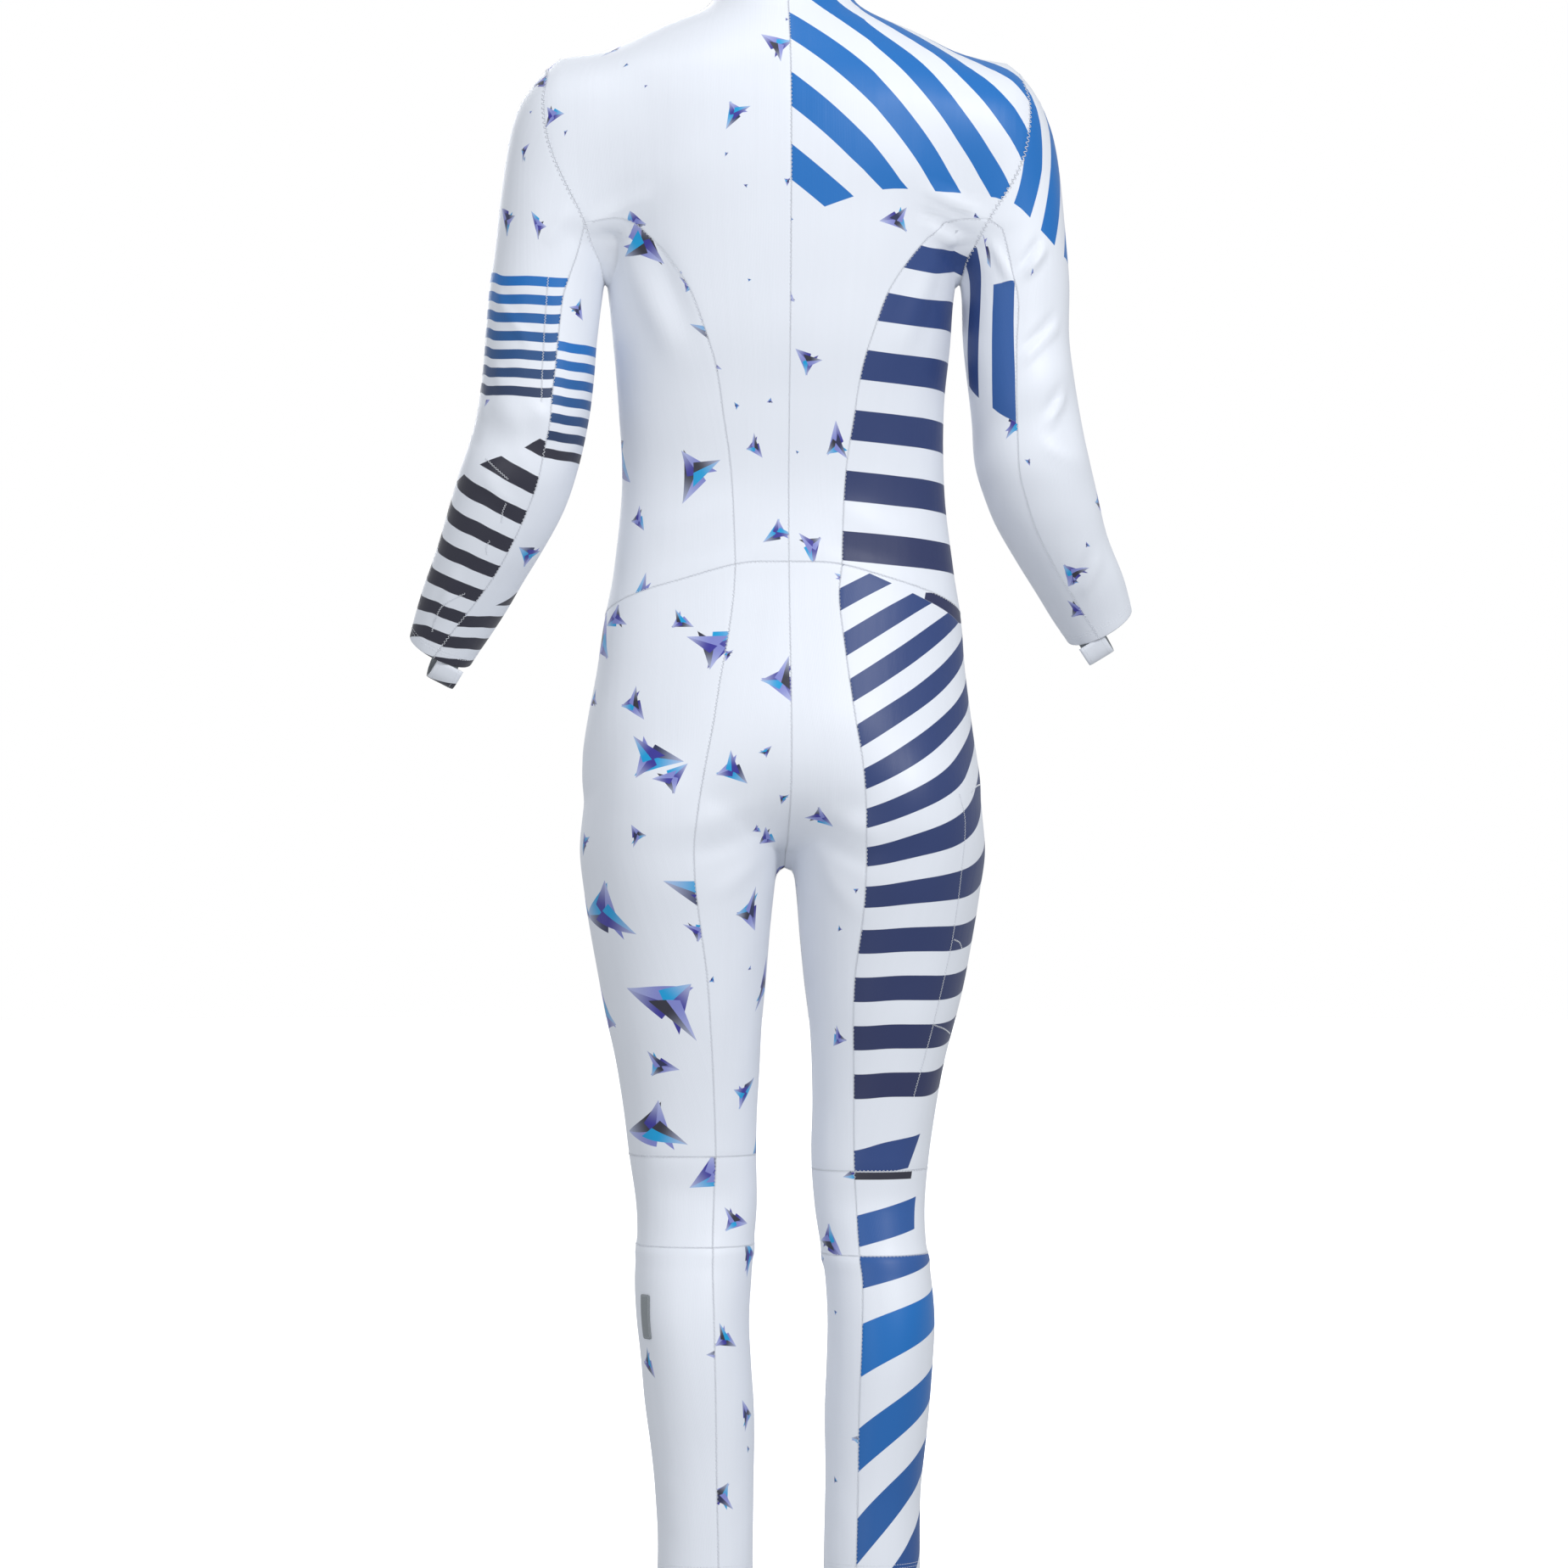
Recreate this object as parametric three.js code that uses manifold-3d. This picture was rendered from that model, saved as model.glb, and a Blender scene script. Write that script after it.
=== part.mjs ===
// A one-piece ski race suit, filled out as it is when worn: a hollow, close-fitting shell of cut and
// sewn panels with a low stand collar, a centre-front zip, long sleeves with finger loops and long legs.
//
// Millimetres. +Z is up, +Y is the wearer's back and +X the wearer's left. The origin lies on the
// mid-plane at the height of the back neck seam, where the wearer's shoulders hold the suit.
//
// The shell is the skin of a general figure: a trunk, two legs and two arms, each described by a table
// of level sections, joined smoothly. A panel is a net of points on that skin between its seams, made
// into a wall of cloth by a second net one cloth thickness further in.
import * as THREE from "three";
import { mergeVertices } from "three/addons/utils/BufferGeometryUtils.js";
import Module from "manifold-3d";

// Cloth and seams
const CLOTH = 1.5;
const SEAM_GAP = 0.3;

// Seam heights
const NECK_BACK_Z = -3;
const NECK_SIDE_Z = 3;
const NECK_FRONT_Z = -56;
const COLLAR_HEIGHT = 38;
const HEM_Z = -1372;
const KNEE_SEAMS = { left: { upper: -1007, lower: -1085 }, right: { upper: -1020, lower: -1093 } };

// How many cells each seam is divided into; two panels that meet share their seam's points
const CELLS = {
  neckBack: 3,
  neckFront: 4,
  shoulder: 4,
  princess: 11,
  armholeBack: 6,
  underarm: 8,
  aboveCrotch: 10,
  thigh: 7,
  knee: 2,
  calf: 8,
  collar: 2,
};

// Level sections, top to bottom. x and y place the middle, side is the half width, front and back are
// the depths before and behind the middle, and square is the section's exponent: 2 is an ellipse.
const SECTION = ["z", "x", "y", "side", "front", "back", "square"];
const TRUNK = table(SECTION, [
  [60, 0, -16, 55, 50, 45, 2.0],
  [20, 0, -4, 57, 53, 49, 2.0],
  [0, 0, 2, 61, 56, 54, 2.0],
  [-12, 0, 6, 75, 59, 58, 1.9],
  [-27, 1, 10, 111, 64, 66, 1.8],
  [-44, 1, 13, 146, 69, 75, 1.8],
  [-60, 1, 14, 177, 73, 82, 1.9],
  [-76, 1, 14, 193, 77, 87, 2.0],
  [-100, 0, 12, 194, 83, 93, 2.1],
  [-150, 0, 8, 177, 94, 98, 2.2],
  [-200, 0, 4, 162, 107, 98, 2.2],
  [-248, 2, 2, 152, 114, 95, 2.25],
  [-300, 2, 0, 147, 109, 90, 2.25],
  [-356, 2, -4, 142, 100, 83, 2.25],
  [-430, 0, -8, 141, 88, 76, 2.25],
  [-500, 0, -6, 149, 90, 80, 2.25],
  [-541, 1, -3, 156, 94, 88, 2.2],
  [-585, 3, 0, 161, 98, 98, 2.2],
  [-630, 4, 3, 168, 98, 107, 2.2],
  [-665, 4, 5, 172, 92, 106, 2.1],
  [-690, 3, 6, 170, 82, 97, 2.1],
  [-708, 2, 6, 158, 68, 83, 2.0],
  [-722, 0, 6, 130, 52, 65, 2.0],
  [-733, 0, 6, 90, 34, 44, 2.0],
  [-739, 0, 6, 48, 18, 24, 2.0],
  [-742, 0, 6, 10, 6, 6, 2.0],
]);
const LEGS = {
  left: table(SECTION, [
    [-600, 72, 4, 70, 66, 74, 2.0],
    [-640, 79, 5, 80, 78, 92, 2.1],
    [-680, 85, 6, 86, 86, 102, 2.1],
    [-715, 89, 6, 87, 86, 102, 2.1],
    [-745, 92, 6, 86, 85, 96, 2.1],
    [-778, 92, 6, 82.5, 83, 90, 2.1],
    [-815, 91, 4, 77.8, 80, 84, 2.1],
    [-852, 89.3, 2, 73, 77, 78, 2.1],
    [-889, 87.1, 1, 67.8, 73, 72, 2.1],
    [-926, 84.1, 0, 62.6, 69, 65, 2.1],
    [-963, 82.3, 0, 58.5, 65, 58, 2.1],
    [-1007, 80, 1, 55.5, 62, 52, 2.1],
    [-1052, 76.7, 4, 52.4, 59, 48, 2.1],
    [-1085, 77.8, 8, 50.6, 56, 51, 2.1],
    [-1112, 80, 12, 50.2, 53, 55, 2.1],
    [-1149, 80.8, 16, 48.4, 49, 58, 2.1],
    [-1186, 78, 19, 47.4, 46, 57, 2.05],
    [-1223, 75.2, 21, 46.8, 44, 53, 2.0],
    [-1260, 72.8, 23, 45, 42, 48, 2.0],
    [-1297, 71, 25, 42.8, 41, 44, 2.0],
    [-1334, 70, 26, 41.4, 41, 42, 2.0],
    [-1380, 70.5, 27, 41.8, 42, 42, 2.0],
  ]),
  right: table(SECTION, [
    [-600, -70, 4, 68, 66, 74, 2.0],
    [-640, -77, 5, 78, 78, 92, 2.1],
    [-680, -83, 6, 85, 86, 102, 2.1],
    [-715, -88, 6, 85, 86, 102, 2.1],
    [-745, -91, 6, 84, 85, 96, 2.1],
    [-778, -90.4, 6, 79.6, 83, 90, 2.1],
    [-815, -89, 4, 75.4, 80, 84, 2.1],
    [-852, -88, 2, 70.2, 77, 78, 2.1],
    [-889, -86, 1, 64, 73, 72, 2.1],
    [-926, -82.6, 0, 58.4, 69, 65, 2.1],
    [-963, -79.5, 0, 54.2, 65, 58, 2.1],
    [-1007, -75.6, 1, 51.6, 61, 52, 2.1],
    [-1052, -74.8, 4, 47.8, 57, 48, 2.1],
    [-1085, -77.6, 8, 45.8, 54, 50, 2.1],
    [-1112, -81.5, 12, 45.8, 51, 54, 2.1],
    [-1149, -83.6, 16, 46, 48, 57, 2.1],
    [-1186, -82.2, 19, 45.9, 46, 56, 2.05],
    [-1223, -80.3, 21, 45.2, 44, 52, 2.0],
    [-1260, -78.3, 23, 43.2, 42, 47, 2.0],
    [-1297, -76.1, 25, 41.5, 41, 43, 2.0],
    [-1334, -75, 26, 41.3, 41, 42, 2.0],
    [-1380, -74.8, 27, 42.2, 42, 42, 2.0],
  ]),
};
const ARMS = {
  left: table(SECTION, [
    [-63, 190, 13, 5, 6, 6, 2.0],
    [-70, 187, 13, 15, 20, 20, 2.0],
    [-82, 185, 13, 29, 36, 36, 2.0],
    [-97, 186, 13, 42, 47, 47, 2.0],
    [-122, 189, 13, 50, 54, 53, 2.0],
    [-165, 195, 12, 51, 56, 54, 2.05],
    [-222, 202, 12, 50.5, 54, 52, 2.05],
    [-252, 207.6, 12, 49, 52, 51, 2.05],
    [-296, 212.3, 13, 48.5, 50, 50, 2.05],
    [-333, 215, 14, 48.7, 49, 50, 2.05],
    [-370, 220, 13, 49.2, 49, 51, 2.05],
    [-408, 230, 9, 51.2, 50, 51, 2.05],
    [-445, 242, 1, 50.5, 50, 48, 2.05],
    [-482, 257.5, -12, 46.5, 47, 44, 2.05],
    [-511, 271.5, -26, 42.5, 43, 40, 2.05],
    [-534, 282, -37, 39, 39, 36, 2.05],
    [-556, 292, -48, 34.8, 35, 32, 2.0],
    [-582, 304, -61, 30, 31, 28, 2.0],
    [-620, 320, -80, 28, 29, 26, 2.0],
  ]),
  right: table(SECTION, [
    [-63, -189, 13, 5, 6, 6, 2.0],
    [-70, -185, 13, 14, 20, 20, 2.0],
    [-82, -183, 13, 27, 36, 36, 2.0],
    [-97, -183, 13, 39, 47, 47, 2.0],
    [-122, -186, 13, 48, 54, 53, 2.0],
    [-165, -191, 12, 51, 56, 54, 2.05],
    [-222, -197, 12, 50, 54, 52, 2.05],
    [-252, -201.5, 12, 47.6, 51, 51, 2.05],
    [-296, -202.7, 13, 46.4, 49, 50, 2.05],
    [-333, -206.4, 14, 46.6, 48, 50, 2.05],
    [-370, -211.6, 13, 48, 48, 51, 2.05],
    [-408, -217.8, 9, 50.4, 50, 51, 2.05],
    [-445, -228.8, 1, 49, 50, 48, 2.05],
    [-474, -241.5, -11, 45.4, 47, 44, 2.05],
    [-504, -258.5, -26, 42, 42, 39, 2.05],
    [-522, -267.5, -35, 39, 38, 35, 2.05],
    [-540, -276.5, -44, 35.5, 34, 31, 2.0],
    [-563, -288, -55, 31, 31, 28, 2.0],
    [-600, -300, -74, 28, 29, 26, 2.0],
  ]),
};

// How far two forms melt into each other where they meet
const CROTCH_BLEND = 12;
const HIP_BLEND = { wide: 28, narrow: 10, spread: [35, 110] };
const SHOULDER_BLEND = {
  wide: 64,
  narrow: 6,
  top: [-150, -240],
  sides: [-200, -252],
  middleY: 10,
  spread: [20, 50],
};

// The largest creases in the cloth: a soft ridge or trough from one point to another
const CREASES = folds(["x1", "y1", "z1", "x2", "y2", "z2", "width", "rise"], [
  // left elbow: two bulges of spare cloth and the trough between them
  [262, 60, -352, 196, 52, -376, 20, 2.6],
  [276, 50, -384, 200, 56, -396, 16, -2.4],
  [284, 44, -410, 206, 54, -424, 20, 2.4],
  // right elbow
  [-256, 54, -318, -196, 60, -352, 20, 2.6],
  [-262, 52, -350, -196, 60, -374, 17, -2.4],
  [-276, 44, -398, -204, 56, -414, 20, 2.2],
  // pulls from each underarm across the back, and from the crotch round the thighs
  [150, 88, -196, 92, 104, -150, 20, 2.2],
  [-150, 88, -190, -92, 104, -146, 20, 2.2],
  [20, 62, -742, 96, 92, -772, 20, 2],
  [-20, 62, -742, -94, 92, -770, 20, 2],
  // behind each knee
  [34, 48, -1040, 122, 48, -1036, 15, -2],
  [-34, 48, -1048, -118, 48, -1044, 15, -2],
]);

// The armhole seam, from the shoulder tip to the underarm, as seen from the back
const ARMHOLE = {
  left: table(["z", "x"], [
    [-74, 207],
    [-94, 211],
    [-123, 209],
    [-147, 202],
    [-171, 191],
    [-198, 177],
    [-217, 170],
    [-234, 162],
    [-250, 158],
  ]),
  right: table(["z", "x"], [
    [-74, -206],
    [-94, -210],
    [-123, -208],
    [-147, -202],
    [-171, -190],
    [-194, -175],
    [-212, -166],
    [-230, -157],
    [-248, -153],
  ]),
};
const ARMHOLE_MIDDLE = { left: [165, 10, -161], right: [-160, 10, -160] };
const ARMHOLE_JOIN = { left: 127, right: 123 };
// Sleeve rings from below the armhole to the cuff: z of the ring's middle, its slope up and out, how far
// it bows down the arm, its pitch down and back, and the angle of the seam behind the arm
const RING = ["z", "slope", "bow", "pitch", "seam"];
const SLEEVES = {
  left: table(RING, [
    [-175, 69, 19, 0, 135],
    [-193, 66, 15, 0, 131],
    [-214, 63, 11, 0, 125],
    [-237, 59, 8, 0, 119],
    [-260, 56, 5, 0, 117],
    [-284, 52, 2, 0, 114],
    [-309, 47, 0, 0, 111],
    [-335, 42, 0, 0, 108],
    [-360, 38, 0, 0, 108],
    [-386, 34, 0, 4, 109],
    [-412, 31, 0, 9, 110],
    [-438, 28, 0, 14, 109],
    [-464, 26, 0, 18, 107],
    [-489, 24, 0, 22, 104],
    [-514, 24, 0, 25, 95],
    [-540, 26, 0, 26, 82],
    [-568, 30, 0, 26, 70],
  ]),
  right: table(RING, [
    [-173, 67, 19, 0, 121],
    [-190, 64, 15, 0, 116],
    [-210, 62, 11, 0, 111],
    [-232, 59, 8, 0, 106],
    [-254, 56, 5, 0, 101],
    [-276, 53, 2, 0, 98],
    [-300, 49, 0, 0, 99],
    [-324, 45, 0, 0, 102],
    [-348, 41, 0, 0, 106],
    [-373, 37, 0, 4, 109],
    [-398, 35, 0, 9, 111],
    [-422, 32, 0, 14, 110],
    [-446, 31, 0, 18, 110],
    [-471, 30, 0, 22, 107],
    [-496, 30, 0, 25, 104],
    [-520, 32, 0, 26, 98],
    [-546, 35, 0, 26, 89],
  ]),
};

// Seams that run over the trunk and down the legs, as half distances from the mid-plane
const BACK_PRINCESS = table(["z", "x"], [
  [-197, 148],
  [-203, 133],
  [-215, 119],
  [-234, 103],
  [-260, 86],
  [-288, 75],
  [-326, 63],
  [-370, 56],
  [-402, 51],
  [-438, 48],
  [-494, 46],
]);
const FRONT_PRINCESS = table(["z", "x"], [
  [-198, 150],
  [-206, 136],
  [-224, 119],
  [-256, 102],
  [-310, 88],
  [-370, 80],
  [-440, 76],
  [-500, 78],
  [-560, 82],
]);
const LEG_SEAM = {
  left: table(["z", "x"], [
    [-494, 46],
    [-522, 48],
    [-556, 53],
    [-598, 61],
    [-634, 67],
    [-665, 73],
    [-700, 79],
    [-735, 83],
    [-770, 82],
    [-800, 78],
    [-850, 71],
    [-900, 67],
    [-950, 64],
    [-1010, 62],
    [-1085, 65],
    [-1160, 64],
    [-1210, 63],
    [-1290, 62],
    [-1380, 60],
  ]),
  right: table(["z", "x"], [
    [-494, 46],
    [-522, 43],
    [-556, 46],
    [-598, 51],
    [-634, 56],
    [-665, 61],
    [-700, 64],
    [-735, 65],
    [-770, 65],
    [-800, 63],
    [-850, 57],
    [-900, 56],
    [-950, 57],
    [-1020, 58],
    [-1093, 62],
    [-1117, 64],
    [-1160, 63],
    [-1210, 61],
    [-1290, 60],
    [-1380, 58],
  ]),
};
// The waist seam drops from the small of the back round to the belly; angle 0 is the middle of the back
const WAIST_SEAM = table(["angle", "z"], [
  [180, -565],
  [130, -556],
  [90, -536],
  [60, -512],
  [30, -495],
  [0, -493],
]);
// Where the level rays that find each leg's skin start: over from the mid-plane at the waist to the
// middle of the leg at the crotch
const LEG_AXIS_AT_WAIST = 50;

// Zip, slider and pull tab
const ZIP = { halfWidth: 4, coilHalfWidth: 2.2, coilHeight: 0.9, belowCollarTop: 13 };
const ZIP_EDGE = ZIP.halfWidth + SEAM_GAP;
const SLIDER = { length: 11, width: 7.6, thick: 2.4, nose: 4.6, archLength: 7, archWidth: 1.5, archThick: 1 };
const ARCH_CLEAR = 2.2;
const TAB = { pin: 1, armWidth: 1.3, sideGap: 0.35, plateLength: 20, plateWidth: 6.4, tipWidth: 4.6 };

// Finger loops at the cuffs and the small tag on the left calf
const LOOP = { width: 18, thick: 1.4, drop: 21, backAngle: 112, frontAngle: 248, cells: 12 };
const TAG = { width: 13, height: 38, thick: 0.8, middleZ: -1145, angle: 52, cells: 3 };

const COLOUR = {
  white: 0xe9ecf4,
  navy: 0x2a3a6b,
  blue: 0x2a6fb4,
  metal: 0x9aa0a8,
  grey: 0x8d9294,
  dark: 0x33363c,
};

// Tables: rows sorted from high to low (or by falling angle), read with a smooth curve between rows
function table(columns, rows) {
  const keys = rows.map((row) => row[0]);
  const slopes = rows.map((row, i) => {
    const before = rows[Math.max(i - 1, 0)];
    const after = rows[Math.min(i + 1, rows.length - 1)];
    return row.map((_, c) => (after[c] - before[c]) / (after[0] - before[0]));
  });
  return { columns, rows, keys, slopes };
}
function folds(columns, rows) {
  return rows.map((row) => Object.fromEntries(columns.map((name, c) => [name, row[c]])));
}
function read({ rows, keys, slopes }, key) {
  const last = rows.length - 1;
  if (key >= keys[0]) return rows[0];
  if (key <= keys[last]) return rows[last];
  let i = 0;
  while (keys[i + 1] > key) i++;
  const span = keys[i + 1] - keys[i];
  const t = (key - keys[i]) / span;
  const a = 2 * t ** 3 - 3 * t ** 2 + 1;
  const b = t ** 3 - 2 * t ** 2 + t;
  const c = t ** 3 - t ** 2;
  return rows[i].map(
    (value, k) =>
      a * value + b * span * slopes[i][k] + (1 - a) * rows[i + 1][k] + c * span * slopes[i + 1][k],
  );
}

// Small vector helpers on [x, y, z]
const add = (a, b, k = 1) => [a[0] + k * b[0], a[1] + k * b[1], a[2] + k * b[2]];
const minus = (a, b) => add(a, b, -1);
const dot = (a, b) => a[0] * b[0] + a[1] * b[1] + a[2] * b[2];
const cross = (a, b) => [a[1] * b[2] - a[2] * b[1], a[2] * b[0] - a[0] * b[2], a[0] * b[1] - a[1] * b[0]];
const unit = (a) => a.map((value) => value / Math.hypot(...a));
const mix = (a, b, t) => a + (b - a) * t;
const mixPoints = (a, b, t) => a.map((value, i) => mix(value, b[i], t));
const share = (value, [from, to]) => clamp((value - from) / (to - from), 0, 1);
const radians = (degrees) => (degrees * Math.PI) / 180;
const degrees = (angle) => (angle * 180) / Math.PI;
const range = (count) => Array.from({ length: count }, (_, i) => i);
const clamp = (value, low, high) => Math.min(Math.max(value, low), high);
const sideSign = { left: 1, right: -1 };

// The skin: negative inside the figure, positive outside, about millimetres near it
function limb(sections, [x, y, z]) {
  const top = sections.keys[0];
  const bottom = sections.keys[sections.keys.length - 1];
  const [, middleX, middleY, side, front, back, square] = read(sections, z);
  const overX = x - middleX;
  const overY = y - middleY;
  const reach =
    (Math.abs(overX / side) ** square + Math.abs(overY / (overY > 0 ? back : front)) ** square) ** (1 / square);
  const level = reach < 1e-6 ? -Math.min(side, front, back) : Math.hypot(overX, overY) * (1 - 1 / reach);
  return level + Math.max(z - top, 0) + Math.max(bottom - z, 0);
}
function meld(a, b, width) {
  const closeness = Math.max(width - Math.abs(a - b), 0) / width;
  return Math.min(a, b) - (closeness ** 2 * width) / 4;
}
function creaseRise(p) {
  let rise = 0;
  for (const fold of CREASES) {
    const start = [fold.x1, fold.y1, fold.z1];
    const along = minus([fold.x2, fold.y2, fold.z2], start);
    const t = clamp(dot(minus(p, start), along) / dot(along, along), 0, 1);
    const away = minus(p, add(start, along, t));
    rise += fold.rise * Math.exp(-dot(away, away) / fold.width ** 2) * (0.5 + 2 * t * (1 - t));
  }
  return rise;
}
function skin(p) {
  const legs = meld(limb(LEGS.left, p), limb(LEGS.right, p), CROTCH_BLEND);
  const { wide: seat, narrow: hip, spread: hipSpread } = HIP_BLEND;
  const body = meld(limb(TRUNK, p), legs, mix(seat, hip, share(Math.abs(p[0]), hipSpread)));
  const { wide, narrow, top, sides, middleY, spread } = SHOULDER_BLEND;
  const aside = share(Math.abs(p[1] - middleY), spread);
  const width = mix(wide, narrow, Math.min(share(p[2], top), 1 - aside * (1 - share(p[2], sides))));
  const arm = limb(p[0] > 0 ? ARMS.left : ARMS.right, p);
  return meld(body, arm, width) - creaseRise(p);
}
function normal(p) {
  const step = 0.5;
  return unit(
    range(3).map((axis) => {
      const shift = range(3).map((i) => (i === axis ? step : 0));
      return skin(add(p, shift)) - skin(minus(p, shift));
    }),
  );
}
// The point where a ray from inside the figure first leaves it
function leave(start, direction, form = skin) {
  const stride = 3;
  const furthest = 400;
  let near = 0;
  let far = stride;
  while (form(add(start, direction, far)) < 0) {
    near = far;
    far += stride;
    if (far > furthest) throw new Error("a ray never leaves the figure, from " + start);
  }
  for (let i = 0; i < 40; i++) {
    const middle = (near + far) / 2;
    if (form(add(start, direction, middle)) < 0) near = middle;
    else far = middle;
  }
  return add(start, direction, (near + far) / 2);
}

// A chart gives each point of a form two coordinates and finds the skin again from them. A round chart
// has an angle, 0 at the back and 90 at the outer side, and a height; a flat one has x and the height.
function roundChart(axisAt, sign, form) {
  return {
    locate(p) {
      const [x, y] = axisAt(p[2]);
      return [degrees(Math.atan2(sign * (p[0] - x), p[1] - y)), p[2]];
    },
    point([angle, z]) {
      const [x, y] = axisAt(z);
      return leave([x, y, z], [sign * Math.sin(radians(angle)), Math.cos(radians(angle)), 0], form);
    },
  };
}
const flatChart = (find) => ({ locate: ([x, , z]) => [x, z], point: ([x, z]) => find(x, z) });
const trunkAxis = (z) => [0, read(TRUNK, z)[2]];
const backPoint = (x, z) => leave([x, trunkAxis(z)[1], z], [0, 1, 0]);
const frontPoint = (x, z) => leave([x, trunkAxis(z)[1], z], [0, -1, 0]);

// The crotch is the lowest point of the skin on the mid-plane
function lowestOnMidPlane() {
  const searchFrom = -700;
  let best = [0, 0, searchFrom];
  for (let y = -30; y <= 50; y += 2) {
    const found = leave([0, y, searchFrom], [0, 0, -1]);
    if (found[2] < best[2]) best = found;
  }
  return best;
}
const CROTCH = lowestOnMidPlane();

const legAxis = (side) => (z) => {
  const [, x, y] = read(LEGS[side], z);
  const waistZ = WAIST_SEAM.rows[WAIST_SEAM.rows.length - 1][1];
  const share = clamp((z - CROTCH[2]) / (waistZ - CROTCH[2]), 0, 1);
  const crotchShare = clamp(1 - Math.abs(z - CROTCH[2]) / 60, 0, 1);
  const legX = mix(x, sideSign[side] * LEG_AXIS_AT_WAIST, share);
  return [legX, mix(mix(y, trunkAxis(z)[1], share), CROTCH[1], crotchShare)];
};

// One half of the figure, and that half without its arm
const halfSkin = (sign) => (p) => Math.max(skin(p), -sign * p[0]);
function armlessSkin(side) {
  const sign = sideSign[side];
  const rows = ARMHOLE[side].rows;
  const [lowZ, lowX] = rows[rows.length - 1];
  const [joinZ, joinX] = rows[rows.length - 4];
  const outward = unit([joinZ - lowZ, 0, -Math.abs(joinX - lowX)]);
  const slack = 3;
  const beyond = (p) => {
    const [over, up] = [sign * p[0] - Math.abs(lowX), p[2] - lowZ];
    if (up > 0) return dot([over, 0, up], outward);
    return up > -80 ? over - slack : -1;
  };
  return (p) => Math.max(skin(p), beyond(p));
}

// Seams as lists of shared points
function evenly(from, to, cells, ease = 1) {
  return range(cells + 1).map((i) => mix(from, to, (i / cells) ** ease));
}
function neckZ(angle) {
  const turn = Math.cos(radians(angle));
  return turn > 0
    ? mix(NECK_SIDE_Z, NECK_BACK_Z, turn ** 2)
    : mix(NECK_SIDE_Z, NECK_FRONT_Z, (1 - Math.sin(radians(angle))) ** 0.8);
}
function ringPlane(side, row) {
  const sign = sideSign[side];
  const [z, slope, bow, pitch] = row;
  const [, x, y] = read(ARMS[side], z);
  const out = [sign * Math.cos(radians(slope)), 0, Math.sin(radians(slope))];
  const rear = [0, Math.cos(radians(pitch)), -Math.sin(radians(pitch))];
  const down = [sign * Math.sin(radians(slope)), 0, -Math.cos(radians(slope))];
  return { middle: [x, y, z], out, rear, down, bow };
}
// Angles round a ring: 0 is the shoulder side, 90 the back and 180 under the arm
function ringPoint({ middle, out, rear, down, bow }, angle) {
  const fromTop = Math.min(angle, 360 - angle);
  const bowed = fromTop < 135 ? bow * Math.sin(radians((fromTop * 180) / 135)) : 0;
  const ray = add(out.map((value) => value * Math.cos(radians(angle))), rear, Math.sin(radians(angle)));
  return leave(add(middle, down, bowed), unit(ray));
}
// A point of the armhole seam, by its angle seen from the side: moved sideways until it is on the seam
function armholePoint(side, angle) {
  const [x, y, z] = ARMHOLE_MIDDLE[side];
  const up = Math.cos(radians(angle));
  const back = Math.sin(radians(angle));
  let over = 0;
  let found;
  for (let i = 0; i < 12; i++) {
    found = leave([x, y, z], unit([over, back, up]));
    const reach = Math.hypot(found[1] - y, found[2] - z);
    over = mix(over, (read(ARMHOLE[side], found[2])[1] - x) / reach, 0.7);
  }
  return found;
}
function sleeveAngles(seam) {
  const { armholeBack, underarm } = CELLS;
  return [
    ...evenly(0, seam, armholeBack),
    ...evenly(seam, 360 - seam, underarm).slice(1),
    ...evenly(360 - seam, 360, armholeBack).slice(1),
  ];
}
function sleeveRings(side) {
  const armhole = sleeveAngles(ARMHOLE_JOIN[side]).map((angle) => armholePoint(side, angle));
  const rings = SLEEVES[side].rows.map((row) => {
    const plane = ringPlane(side, row);
    return sleeveAngles(row[4]).map((angle) => ringPoint(plane, angle));
  });
  return [armhole, ...rings];
}
// A princess seam, even in length, from the waist to where it meets the armhole
function princess(seam, sign, waistPoint, armholePoint, findPoint) {
  const curve = new THREE.CatmullRomCurve3(
    [
      new THREE.Vector3(Math.abs(waistPoint[0]), 0, waistPoint[2]),
      ...seam.rows
        .filter(([z]) => z > waistPoint[2] + 20)
        .reverse()
        .map(([z, x]) => new THREE.Vector3(x, 0, z)),
      new THREE.Vector3(Math.abs(armholePoint[0]), 0, armholePoint[2]),
    ],
    false,
    "centripetal",
  );
  return curve.getSpacedPoints(CELLS.princess).map((p, i) => {
    if (i === 0) return waistPoint;
    if (i === CELLS.princess) return armholePoint;
    return findPoint(sign * p.x, p.z);
  });
}
function waistZ(angle) {
  return read(WAIST_SEAM, angle)[1];
}
// A point of the waist seam at a given distance from the mid-plane, on the back or the front
function waistPoint(x, onBack) {
  let z = onBack ? waistZ(0) : waistZ(180);
  let found;
  for (let i = 0; i < 6; i++) {
    found = onBack ? backPoint(x, z) : frontPoint(x, z);
    const [, axisY] = trunkAxis(z);
    z = waistZ(degrees(Math.atan2(Math.abs(found[0]), found[1] - axisY)));
  }
  return found;
}

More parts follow.
